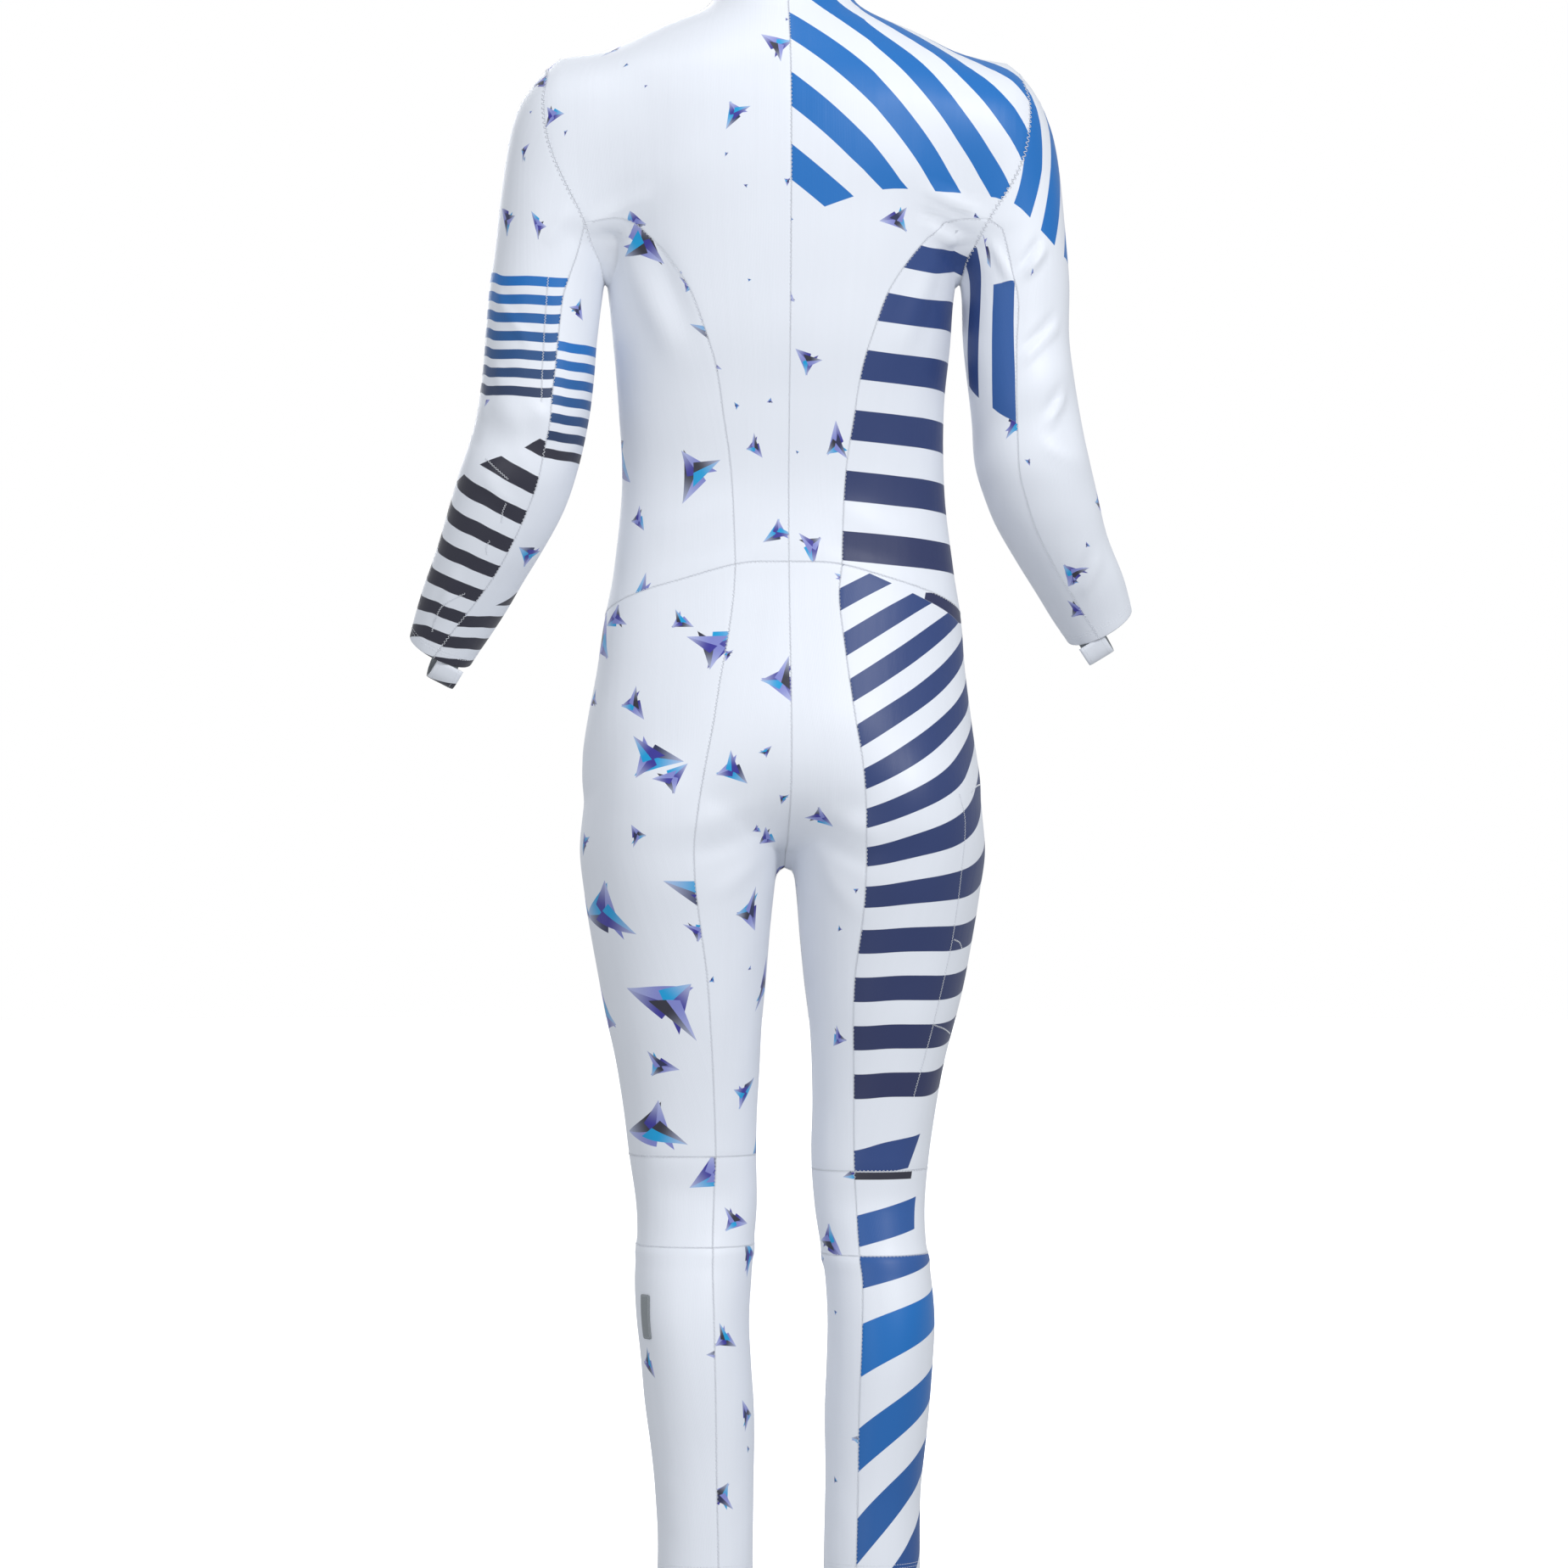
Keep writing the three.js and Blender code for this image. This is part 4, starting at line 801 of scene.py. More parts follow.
def net(
    chart: RoundChart | FlatChart,
    low: Array,
    high: Array,
    first: Array,
    last: Array,
    level_fade: float = 1,
    upright_fade: float = 1,
) -> Array:
    """A net between four seams: blended in a chart, then found again on the skin.

    Args:
        chart: the chart.
        low: the first level seam.
        high: the last level seam.
        first: the upright seam at the net's first column.
        last: the upright seam at its last column.
        level_fade: how fast the shape of the level seams dies out away from them.
        upright_fade: the same for the upright seams.

    Returns:
        A grid of points.
    """

    def unroll(seam: Array, before: float) -> Array:
        """A seam in the chart.

        Args:
            seam: its points.
            before: the angle that its own run on from.

        Returns:
            Its coordinates.
        """
        at = chart.locate(seam)
        if chart.turns:
            at[:, 0] = np.unwrap(np.concatenate([[before], at[:, 0]]), period=360)[1:]
        return at

    a = unroll(low, 0)
    c = unroll(first, a[0, 0])
    b = unroll(high, c[-1, 0])
    d = unroll(last, a[-1, 0])
    v = np.linspace(0, 1, len(first))[:, None, None]
    u = np.linspace(0, 1, len(low))[None, :, None]

    def bow(edge: Array, t: Array) -> Array:
        """How far an edge bows from the straight line between its ends."""
        return edge - mix(edge[0], edge[-1], t)

    at = (
        mix(mix(a[0], a[-1], u), mix(b[0], b[-1], u), v)
        + (1 - v) ** level_fade * bow(a, u[0])[None]
        + v**level_fade * bow(b, u[0])[None]
        + (1 - u) ** upright_fade * bow(c, v[:, 0])[:, None]
        + u**upright_fade * bow(d, v[:, 0])[:, None]
    )
    grid = np.empty(at.shape[:2] + (3,))
    grid[1:-1, 1:-1] = chart.point(at[1:-1, 1:-1, 0], at[1:-1, 1:-1, 1])
    grid[:, 0], grid[:, -1], grid[0], grid[-1] = first, last, low, high
    return grid


# The cloth's smaller folds: ends on the back as x and z, then width and rise, all in millimetres. Half
# of them lie at the armpits and elbows, where the cloth is pushed together
FOLDS = (
    # right armpit
    (-118, -172, -168, -196, 8, 1.9),
    (-112, -190, -160, -214, 6, -1.7),
    (-122, -204, -162, -228, 7, 1.9),
    (-128, -222, -156, -246, 7, -1.2),
    (-132, -168, -150, -222, 5, -1.3),
    (-146, -166, -160, -224, 5, 1.3),
    (-175, -213, -194, -252, 5, 1.4),
    (-223, -220, -204, -245, 6, 2.2),
    (-217, -214, -201, -239, 5, -1.3),
    # left armpit
    (120, -176, 170, -204, 9, 1.2),
    (116, -196, 162, -222, 8, -1.0),
    (128, -214, 164, -240, 9, 1.1),
    (186, -186, 210, -222, 9, 1.0),
    # left elbow
    (250, -261, 222, -307, 6, 1.8),
    (253, -326, 211, -370, 6, 2.7),
    (256, -342, 220, -385, 5, -2.0),
    (263, -356, 227, -404, 6, 2.5),
    (270, -385, 236, -415, 6, -1.7),
    (262, -420, 236, -446, 7, 1.6),
    # right elbow
    (-236, -284, -202, -320, 5.5, 2.5),
    (-232, -278, -204, -307, 5, -1.4),
    (-242, -346, -224, -374, 5.5, 2.4),
    (-236, -344, -223, -363, 5, -1.2),
    (-218, -390, -252, -408, 8, 1.0),
    # long soft folds down the forearms
    (-275, -485, -260, -519, 7, 1.6),
    (-268, -480, -254, -511, 6, -1.2),
    (286, -500, 300, -540, 8, 1.2),
    # soft upright folds beside the left shoulder blade and in the small of the back
    (140, -222, 96, -318, 15, 1.3),
    (118, -214, 84, -300, 13, -1.1),
    (-128, -226, -96, -316, 14, 1.1),
    (44, -440, 116, -470, 14, 0.9),
    (-40, -446, -112, -474, 14, 0.9),
    (30, -474, 120, -498, 12, -0.8),
    (-30, -478, -118, -502, 12, -0.8),
    # under the seat
    (24, -700, 92, -722, 14, 0.9),
    (-26, -706, -84, -734, 14, 1.0),
    (22, -724, 84, -744, 11, -0.8),
    (-24, -730, -70, -756, 11, -0.8),
    (26, -748, 70, -782, 12, 0.7),
    (-28, -754, -66, -800, 12, 0.7),
    # behind and above the knees
    (36, -984, 122, -996, 9, 1.3),
    (30, -1022, 126, -1014, 8, -1.1),
    (34, -1064, 124, -1072, 9, 1.2),
    (-32, -996, -120, -1004, 9, 1.3),
    (-30, -1036, -118, -1028, 8, -1.1),
    (-34, -1076, -122, -1082, 9, 1.2),
    # at the ankles
    (38, -1300, 106, -1290, 9, 0.9),
    (40, -1326, 104, -1334, 8, -0.8),
    (-42, -1306, -112, -1296, 9, 0.9),
    (-42, -1332, -110, -1340, 8, -0.8),
)


class Creases:
    """How far the cloth stands out of the figure: large creases, small folds and a soft unevenness.

    The unevenness is a sum of faint waves, longer down the body than across it. DEPTH is what the rises
    of the small folds are multiplied by, VALLEY how far the cloth sinks beside them, and LIP the soft
    edge that the cloth starts with below each knee seam: its rise, its middle under the seam and its
    width. A fold thins out towards its ends by TAPER, and keeps a little height at each END. On the
    back, an arm is what lies past ARM_FROM and above ARM_ABOVE.
    """

    SEED = 7
    WAVES = 9
    WAVE_LENGTH = 17
    WAVE_STRETCH = (1, 1, 0.45)
    WAVE_RISE = 0.16
    DEPTH = 2.1
    VALLEY = 0.8
    TAPER = 0.7
    END = 0.02
    LIP = (1.5, 5, 6)
    ARM_FROM = 172
    ARM_ABOVE = -620
    INSIDE_TRUNK_Y = 8.0

    def __init__(self) -> None:
        """Finds the depth of each fold's ends on the back of the suit."""
        table = np.array(FOLDS, float)
        self.width, self.rise = table[:, 4], table[:, 5]
        self.start = self.on_back(table[:, 0], table[:, 1])
        self.end = self.on_back(table[:, 2], table[:, 3])
        rng = np.random.default_rng(self.SEED)
        self.waves = rng.normal(size=(self.WAVES, 3)) * np.array(self.WAVE_STRETCH) / self.WAVE_LENGTH
        self.phases = rng.uniform(0, 2 * math.pi, self.WAVES)

    @classmethod
    def on_back(cls, x: Array, z: Array) -> Array:
        """Points of the back skin of whichever form is there.

        Args:
            x: their places across.
            z: their heights.

        Returns:
            The points.
        """
        start_y = np.full(x.shape, cls.INSIDE_TRUNK_Y)
        for side in Side:
            on_arm = (side.sign * x > cls.ARM_FROM) & (z > cls.ARM_ABOVE)
            start_y = np.where(on_arm, ARMS[side].read(z)[:, 2], start_y)
        return leave(points(x, start_y, z), np.array([0.0, 1.0, 0.0]))

    @staticmethod
    def _along(p: Array, start: Array, end: Array) -> tuple[Array, Array]:
        """Where points lie beside a fold.

        Args:
            p: points, one a row.
            start: one end of the fold.
            end: its other end.

        Returns:
            How far along it they are, from 0 to 1, and their squared distance from it.
        """
        run = end - start
        t = np.clip((p - start) @ run / (run @ run), 0, 1)
        away = p - (start + t[:, None] * run)
        return t, (away * away).sum(-1)

    def rise_at(self, grid: Array) -> Array:
        """How far the cloth stands out.

        Args:
            grid: points in any grid shape.

        Returns:
            Millimetres, in the same shape.
        """
        p = grid.reshape(-1, 3)
        rise = self.WAVE_RISE * np.sin(p @ self.waves.T + self.phases).sum(-1)
        for row in CREASES:
            t, far = self._along(p, row[:3], row[3:6])
            rise += row[7] * np.exp(-far / row[6] ** 2) * (0.5 + 2 * t * (1 - t))
        for start, end, width, height in zip(self.start, self.end, self.width, self.rise):
            t, far = self._along(p, start, end)
            ratio = far / width**2
            taper = np.sin(math.pi * np.clip(t, self.END, 1 - self.END)) ** self.TAPER
            rise += self.DEPTH * height * np.exp(-ratio) * (1 - self.VALLEY * ratio) * taper
        lip_rise, under, width = self.LIP
        for side in Side:
            lip = lip_rise * np.exp(-(((p[:, 2] - KNEE_SEAMS[side][1] + under) / width) ** 2))
            rise += np.where(side.sign * p[:, 0] > 0, lip, 0)
        return rise.reshape(grid.shape[:-1])


@dataclass
class Path:
    """A line on the cloth with the direction out of the cloth at each point, in millimetres."""

    at: Array
    out: Array

    def part(self, begin: int, end: int | None) -> "Path":
        """The path between two of its points."""
        return Path(self.at[begin:end], self.out[begin:end])

    def spaced(self, step: float) -> "Path":
        """The path again with its points at even distances.

        Args:
            step: about how far apart.

        Returns:
            The new path.
        """
        cells = max(int(round(lengths_along(self.at)[-1] / step)), 2)
        # The directions ride along so small that they add nothing to the lengths
        small = 1e-6
        both = resampled(np.concatenate([self.at, self.out * small], -1), cells)
        return Path(both[:, :3], unit(both[:, 3:] / small))


class Panel:
    """One cut panel: a closed wall of cloth on a net of the figure's skin.

    Its edges have one more line of points, CLOSE beside them. They sink by ROLL into their seams, which
    are GAP wide.
    """

    CLOSE = 1.1
    ROLL = 0.16
    GAP = 0.05

    def __init__(self, name: str, grid: Array, creases: Creases, rows_rise: bool, grain: int) -> None:
        """Works out the panel's two faces and the lengths over its cloth.

        Args:
            name: the panel's node.
            grid: its net of points, rows by columns.
            creases: the folds.
            rows_rise: whether the rows go up.
            grain: the column that the grain follows.
        """
        self.name = name
        self.rows_rise = rows_rise
        for axis in (0, 1):
            grid = self._with_edge_lines(grid, axis)
        self.grain = grain + (2 if grain > grid.shape[1] // 2 else 1 if grain else 0)
        self.out = normal(grid)
        self.skin = grid + self.out * creases.rise_at(grid)[..., None]
        self.outer = self._inset(self.skin)
        self.inner = self.outer - CLOTH * self.out
        self._roll_edges()

    @classmethod
    def _with_edge_lines(cls, grid: Array, axis: int) -> Array:
        """The net with one more line close beside its first and last line.

        Args:
            grid: its points.
            axis: 0 for rows, 1 for columns.

        Returns:
            The new net.
        """
        grid = np.swapaxes(grid, 0, axis)

        def beside(edge: Array, inside: Array) -> Array:
            """A line between two, at the set distance from the first."""
            gap = np.linalg.norm(inside - edge, axis=-1, keepdims=True)
            return mix(edge, inside, np.clip(cls.CLOSE / np.maximum(gap, TINY), 0, 0.5))

        first, last = beside(grid[0], grid[1]), beside(grid[-1], grid[-2])
        grid = np.concatenate([grid[:1], first[None], grid[1:-1], last[None], grid[-1:]])
        return np.swapaxes(grid, 0, axis)

    def _inset(self, grid: Array) -> Array:
        """Draws the edges in, square to each, so that the panels don't touch.

        Args:
            grid: the net of points.

        Returns:
            The new net.
        """
        moved = grid.copy()
        for turn in (0, 1):
            lines, out, to = (np.swapaxes(a, 0, turn) for a in (grid, self.out, moved))
            for edge, inside in ((0, 1), (-1, -2)):
                run = np.gradient(lines[edge], axis=0)
                across = unit(np.cross(out[edge], run))
                towards = lines[inside] - lines[edge]
                for end, beside in ((0, 1), (-1, -2)):
                    towards[end] = lines[inside][beside] - lines[edge][end]
                flip = np.sign((across * towards).sum(-1, keepdims=True))
                to[edge] += across * flip * self.GAP / 2
        return moved

    def _roll_edges(self) -> None:
        """Sinks the outer face's edges a little, as a sewn edge rolls into its seam."""
        mask = np.zeros(self.outer.shape[:2], bool)
        mask[[0, -1]] = True
        mask[:, [0, -1]] = True
        self.outer[mask] -= self.ROLL * self.out[mask]

    def edge(self, name: str) -> Path:
        """The path along one edge: low, high, first or last."""
        cut = {"low": np.s_[0], "high": np.s_[-1], "first": np.s_[:, 0], "last": np.s_[:, -1]}[name]
        return Path(self.skin[cut], self.out[cut])

    def chart(self) -> Array:
        """Lengths over the cloth.

        Returns:
            Metres across from the grain's column, and metres along it, for each point.
        """
        across = np.linalg.norm(np.diff(self.skin, axis=1), axis=-1)
        across = np.concatenate([np.zeros((len(across), 1)), np.cumsum(across, 1)], 1)
        across -= across[:, self.grain : self.grain + 1]
        along = np.linalg.norm(np.diff(self.skin, axis=0), axis=-1)
        along = np.concatenate([np.zeros((1, along.shape[1])), np.cumsum(along, 0)])
        start = self.skin[0, :, 2]
        along = start + along if self.rows_rise else start - along
        return np.stack([across, along], -1) * MM

    def cut_size(self) -> tuple[float, float, float]:
        """The flat panel before the body stretches it.

        Returns:
            Its width, length and area in metres.
        """
        chart = self.chart()
        a, b = np.diff(self.skin, axis=0)[:, :-1], np.diff(self.skin, axis=1)[:-1]
        area = np.linalg.norm(np.cross(a, b), axis=-1).sum() * MM * MM
        width = np.ptp(chart[..., 0], axis=1).max()
        length = np.ptp(chart[..., 1])
        return width / STRETCH, length, min(area / STRETCH, width * length / STRETCH)


# A tight suit is cut about a twelfth narrower than the body it goes round
STRETCH = 1.08


def grid_faces(rows: int, cells: int, start: int, flip: bool) -> list[tuple[int, ...]]:
    """The quads of a grid of points.

    Args:
        rows: rows of points.
        cells: points in a row.
        start: the first point's index.
        flip: whether the quads face the other way.

    Returns:
        The quads.
    """
    i, j = np.meshgrid(np.arange(rows - 1), np.arange(cells - 1), indexing="ij")
    a = (start + i * cells + j).ravel()
    quads = np.stack([a, a + 1, a + cells + 1, a + cells], -1)
    return (quads[:, ::-1] if flip else quads).tolist()


def rim_faces(rows: int, cells: int, flip: bool) -> list[tuple[int, ...]]:
    """The quads round the edge, from the first grid of points to a second one after it.

    Args:
        rows: rows of points.
        cells: points in a row.
        flip: whether the quads face the other way.

    Returns:
        The quads.
    """
    size = rows * cells
    at = np.arange(size).reshape(rows, cells)
    loop = np.concatenate([at[0], at[1:, -1], at[-1, -2::-1], at[-2:0:-1, 0]]).tolist()
    following = loop[1:] + loop[:1]
    if flip:
        loop, following = following, loop
    return [(a, a + size, b + size, b) for a, b in zip(loop, following)]


def new_object(name: str, verts: Array, faces: list[tuple[int, ...]]) -> Object:
    """A smooth mesh object at the origin.

    Args:
        name: its name.
        verts: its points in millimetres.
        faces: its faces.

    Returns:
        The object.
    """
    mesh = bpy.data.meshes.new(name)
    mesh.from_pydata((np.asarray(verts).reshape(-1, 3) * MM).tolist(), [], faces)
    mesh.polygons.foreach_set("use_smooth", np.ones(len(mesh.polygons), bool))
    mesh.update()
    obj = bpy.data.objects.new(name, mesh)
    bpy.context.scene.collection.objects.link(obj)
    return obj


def wall_object(name: str, outer: Array, inner: Array, chart: Array) -> Object:
    """A closed wall between two nets of the same size.

    Args:
        name: its name.
        outer: the net that is seen.
        inner: the net behind it.
        chart: what the map called cloth says at each point of the nets.

    Returns:
        The object, with faces of the inner net on its second material.
    """
    rows, cells = outer.shape[:2]
    middle = (rows // 2, cells // 2)
    a = outer[middle[0] + 1, middle[1]] - outer[middle]
    b = outer[middle[0], middle[1] + 1] - outer[middle]
    facing = np.dot(np.cross(b, a), outer[middle] - inner[middle])
    flip = facing < 0
    faces = grid_faces(rows, cells, 0, flip)
    front = len(faces)
    faces += grid_faces(rows, cells, rows * cells, not flip)
    back = len(faces)
    faces += rim_faces(rows, cells, flip)
    obj = new_object(name, np.concatenate([outer.reshape(-1, 3), inner.reshape(-1, 3)]), faces)
    slots = np.zeros(len(faces), np.int32)
    slots[front:back] = 1
    obj.data.polygons.foreach_set("material_index", slots)
    layer = obj.data.uv_layers.new(name="cloth")
    corners = np.empty(len(obj.data.loops), np.int32)
    obj.data.loops.foreach_get("vertex_index", corners)
    both = np.concatenate([chart.reshape(-1, 2)] * 2)
    layer.uv.foreach_set("vector", both[corners].astype(np.float32).ravel())
    return obj


def tone(red: int, green: int, blue: int) -> Colour:
    """A display colour as a linear one.

    Args:
        red: from 0 to 255.
        green: the same.
        blue: the same.

    Returns:
        The colour, each part from 0 to 1.
    """

    def linear(value: int) -> float:
        """One part of it."""
        part = value / 255
        return part / 12.92 if part <= 0.04045 else ((part + 0.055) / 1.055) ** 2.4

    return (linear(red), linear(green), linear(blue), 1.0)


def darker(colour: Colour, part: float) -> Colour:
    """A colour with only a part of its light."""
    return tuple(value * part for value in colour[:3]) + (1.0,)


class Dye(Enum):
    """The colours of the cloth's print and of the trims."""

    WHITE = tone(233, 237, 245)
    ROYAL = tone(14, 108, 186)
    DEEP = tone(40, 88, 156)
    NAVY = tone(44, 70, 128)
    MIDNIGHT = tone(40, 46, 84)
    INK = tone(46, 46, 60)
    INDIGO = tone(56, 52, 150)
    CYAN = tone(0, 156, 214)
    LILAC = tone(128, 134, 202)
    PALE = tone(196, 204, 234)
    LINING = tone(214, 218, 228)
    THREAD = tone(238, 241, 247)
    TAG = tone(142, 148, 152)
    TAPE = tone(206, 210, 218)
    TEETH = tone(170, 176, 188)


class Value:
    """A number or vector socket that takes part in sums, each of which adds a node."""

    def __init__(self, shop: "Shop", socket: NodeSocket) -> None:
        """Wraps a socket of a shop's node tree."""
        self.shop = shop
        self.socket = socket

    def _sum(self, operation: str, *parts: "Value | float") -> "Value":
        """A Math node on the parts."""
        return self.shop.make("Math", {"operation": operation}, dict(enumerate(parts))).out()

    def __add__(self, other: "Value | float") -> "Value":
        """This plus another."""
        return self._sum("ADD", self, other)

    __radd__ = __add__

    def __sub__(self, other: "Value | float") -> "Value":
        """This less another."""
        return self._sum("SUBTRACT", self, other)

    def __rsub__(self, other: float) -> "Value":
        """A number less this."""
        return self._sum("SUBTRACT", other, self)

    def __mul__(self, other: "Value | float") -> "Value":
        """This times another."""
        return self._sum("MULTIPLY", self, other)

    __rmul__ = __mul__

    def __truediv__(self, other: "Value | float") -> "Value":
        """This over another."""
        return self._sum("DIVIDE", self, other)

    def __abs__(self) -> "Value":
        """This without its sign."""
        return self._sum("ABSOLUTE", self)

    def __lt__(self, other: "Value | float") -> "Value":
        """1 where this is less than another, and 0 elsewhere."""
        return self._sum("LESS_THAN", self, other)

    def __gt__(self, other: "Value | float") -> "Value":
        """1 where this is more than another, and 0 elsewhere."""
        return self._sum("GREATER_THAN", self, other)

    def fraction(self) -> "Value":
        """The part after the point."""
        return self._sum("FRACT", self)

    def sine(self) -> "Value":
        """The sine of this."""
        return self._sum("SINE", self)

    def ramp(self, low: float, high: float) -> "Value":
        """This brought softly from 0 to 1.

        Args:
            low: where it is 0.
            high: where it is 1.

        Returns:
            The share.
        """
        node = self.shop.make(
            "MapRange",
            {"interpolation_type": "SMOOTHSTEP"},
            {"Value": self, "From Min": low, "From Max": high},
        )
        return node.out("Result")


class Made:
    """A node that was made, asked for its outputs."""

    def __init__(self, shop: "Shop", node: Node) -> None:
        """Wraps a node."""
        self.shop = shop
        self.node = node

    def out(self, name: str | int = 0) -> Value:
        """One of its outputs."""
        return Value(self.shop, self.node.outputs[name])


class Shop:
    """Makes the nodes of one material, or of the world."""

    def __init__(self, owner: Material | World) -> None:
        """Empties the owner's node tree.

        Args:
            owner: the material or the world.
        """
        owner.use_nodes = True
        self.owner = owner
        self.tree = owner.node_tree
        self.tree.nodes.clear()

    @classmethod
    def named(cls, name: str) -> "Shop":
        """The shop of a new material."""
        return cls(bpy.data.materials.new(name))

    def make(self, kind: str, settings: dict | None = None, inputs: dict | None = None) -> Made:
        """A node.

        Args:
            kind: its type, without the shader nodes' common prefix.
            settings: its own settings, set first; stops is a colour ramp's places and colours.
            inputs: values or links of its sockets, by name or place.

        Returns:
            The node, wrapped.
        """
        node = self.tree.nodes.new("ShaderNode" + kind)
        for key, value in (settings or {}).items():
            if key == "stops":
                ramp = node.color_ramp
                while len(ramp.elements) < len(value):
                    ramp.elements.new(1)
                for element, (place, colour) in zip(ramp.elements, value):
                    element.position, element.color = place, colour
            else:
                setattr(node, key, value)
        for key, value in (inputs or {}).items():
            if isinstance(value, Value):
                self.tree.links.new(value.socket, node.inputs[key])
            else:
                node.inputs[key].default_value = value
        return Made(self, node)

    def vector(self, operation: str, parts: dict[int | str, Value | Sequence[float] | float]) -> Value:
        """A Vector Math node on the parts."""
        return self.make("VectorMath", {"operation": operation}, parts).out()

    def dot(self, a: Value, b: tuple[float, float, float]) -> Value:
        """How far a vector lies along a direction."""
        return self.make("VectorMath", {"operation": "DOT_PRODUCT"}, {0: a, 1: b}).out("Value")

    def apart(self, a: Value) -> Made:
        """A vector taken apart into x, y and z."""
        return self.make("SeparateXYZ", None, {0: a})

    def joined(self, x: Value, y: Value | float = 0.0) -> Value:
        """A level vector of two parts."""
        return self.make("CombineXYZ", None, {0: x, 1: y}).out()

    def blend(self, part: Value | float, first: Value | Colour, second: Value | Colour) -> Value:
        """Two colours mixed, the second by a share."""
        node = self.make("Mix", {"data_type": "RGBA"}, {0: part, 6: first, 7: second})
        return node.out(2)

    def place(self) -> Value:
        """Where a point is, in metres."""
        return self.make("TexCoord").out("Object")

    def cloth(self) -> tuple[Value, Value]:
        """The lengths over the cloth in metres, across and along it, and the length across alone."""
        uv = self.make("UVMap", {"uv_map": "cloth"}).out("UV")
        return uv, self.apart(uv).out(0)

    def noise(
        self, at: Value, scale: float, detail: float = 2, stretch: tuple[float, float, float] = (1, 1, 1)
    ) -> Value:
        """Soft noise from 0 to 1 at so many waves a metre.

        Args:
            at: where.
            scale: waves a metre.
            detail: how many finer layers.
            stretch: a factor for each axis.

        Returns:
            The noise.
        """
        if stretch != (1, 1, 1):
            at = self.vector("MULTIPLY", {0: at, 1: stretch})
        return self.make("TexNoise", None, {"Vector": at, "Scale": scale, "Detail": detail}).out(0)

    def bump(self, height: Value, distance: float, under: Value | None = None) -> Value:
        """A normal from a height.

        Args:
            height: the height, as a share.
            distance: metres that it stands for.
            under: another bump, which this one lies on.

        Returns:
            The normal.
        """
        inputs = {"Height": height, "Distance": distance, "Strength": 1.0}
        if under is not None:
            inputs["Normal"] = under
        return self.make("Bump", None, inputs).out()

    def finish(self, **sockets: Value | Colour | float) -> Material:
        """Ends the material with its shader.

        Args:
            sockets: values or links of the shader's sockets, named with _ for a space.

        Returns:
            The material.
        """
        inputs = {key.replace("_", " "): value for key, value in sockets.items()}
        shader = self.make("BsdfPrincipled", None, inputs)
        self.make("OutputMaterial", None, {"Surface": shader.out()})
        return self.owner


@dataclass(frozen=True)
class Stripes:
    """A block of plain straight stripes at an even pitch, printed on the flat cloth before it is sewn.

    Its sizes are in millimetres. along is the direction that the stripes are counted in, across the cloth
    and up it, and the block lies between begin and end on it. Each of edges is a direction and a number,
    and the block lies where the cloth is further that way than the number. Stripes with a lean rise
    across the cloth from a column, its place first, by a slope at a low height and one at a high height.
    They are level again further on than TURN, so that the front of a leg has plain hoops.
    """

    along: tuple[float, float]
    begin: float
    end: float
    width: float
    pitch: float
    first: Dye
    last: Dye
    edges: Edges = ()
    lean: tuple[float, float, float, float, float] | None = None

    SOFT = 0.3
    TURN = (130 * MM, 330 * MM)

    def _past(self, value: Value, limit: float) -> Value:
        """1 where a value is past a limit, with a soft edge."""
        return value.ramp((limit - self.SOFT) * MM, (limit + self.SOFT) * MM)

    def over(self, shop: Shop, colour: Value, cloth: Value) -> tuple[Value, Value]:
        """Prints the block.

        Args:
            shop: the material's.
            colour: the colour under it.
            cloth: lengths over the cloth.

        Returns:
            The colour with the stripes on it, and where the block lies.
        """
        size = math.hypot(*self.along)
        at = shop.dot(cloth, (self.along[0] / size, self.along[1] / size, 0))
        if self.lean is not None:
            column, low, low_slope, high, high_slope = self.lean
            apart = shop.apart(cloth)
            slope = apart.out(1).ramp(low * MM, high * MM) * (high_slope - low_slope) + low_slope
            reach = apart.out(0) - column * MM
            at = at + reach * (1 - reach.ramp(*self.TURN)) * slope
        block = self._past(at, self.begin) * (1 - self._past(at, self.end))
        for over, up, limit in self.edges:
            size = math.hypot(over, up)
            block = block * self._past(shop.dot(cloth, (over / size, up / size, 0)), limit)
        turn = (at - self.begin * MM) / (self.pitch * MM)
        from_middle = abs(turn.fraction() - 0.5) * self.pitch
        half = self.width / 2
        stripe = 1 - from_middle.ramp(half - self.SOFT, half + self.SOFT)
        # Each stripe is one colour, so its number sets its shade
        number = turn - turn.fraction()
        steps = max(int((self.end - self.begin) / self.pitch), 1)
        dye = shop.blend(number / steps, self.first.value, self.last.value)
        return shop.blend(block * stripe, colour, dye), block


@dataclass(frozen=True)
class Blade:
    """One pointed blade of a shard: which way it points, its length as a share, and how slim it is."""

    angle: float
    length: float
    slim: float


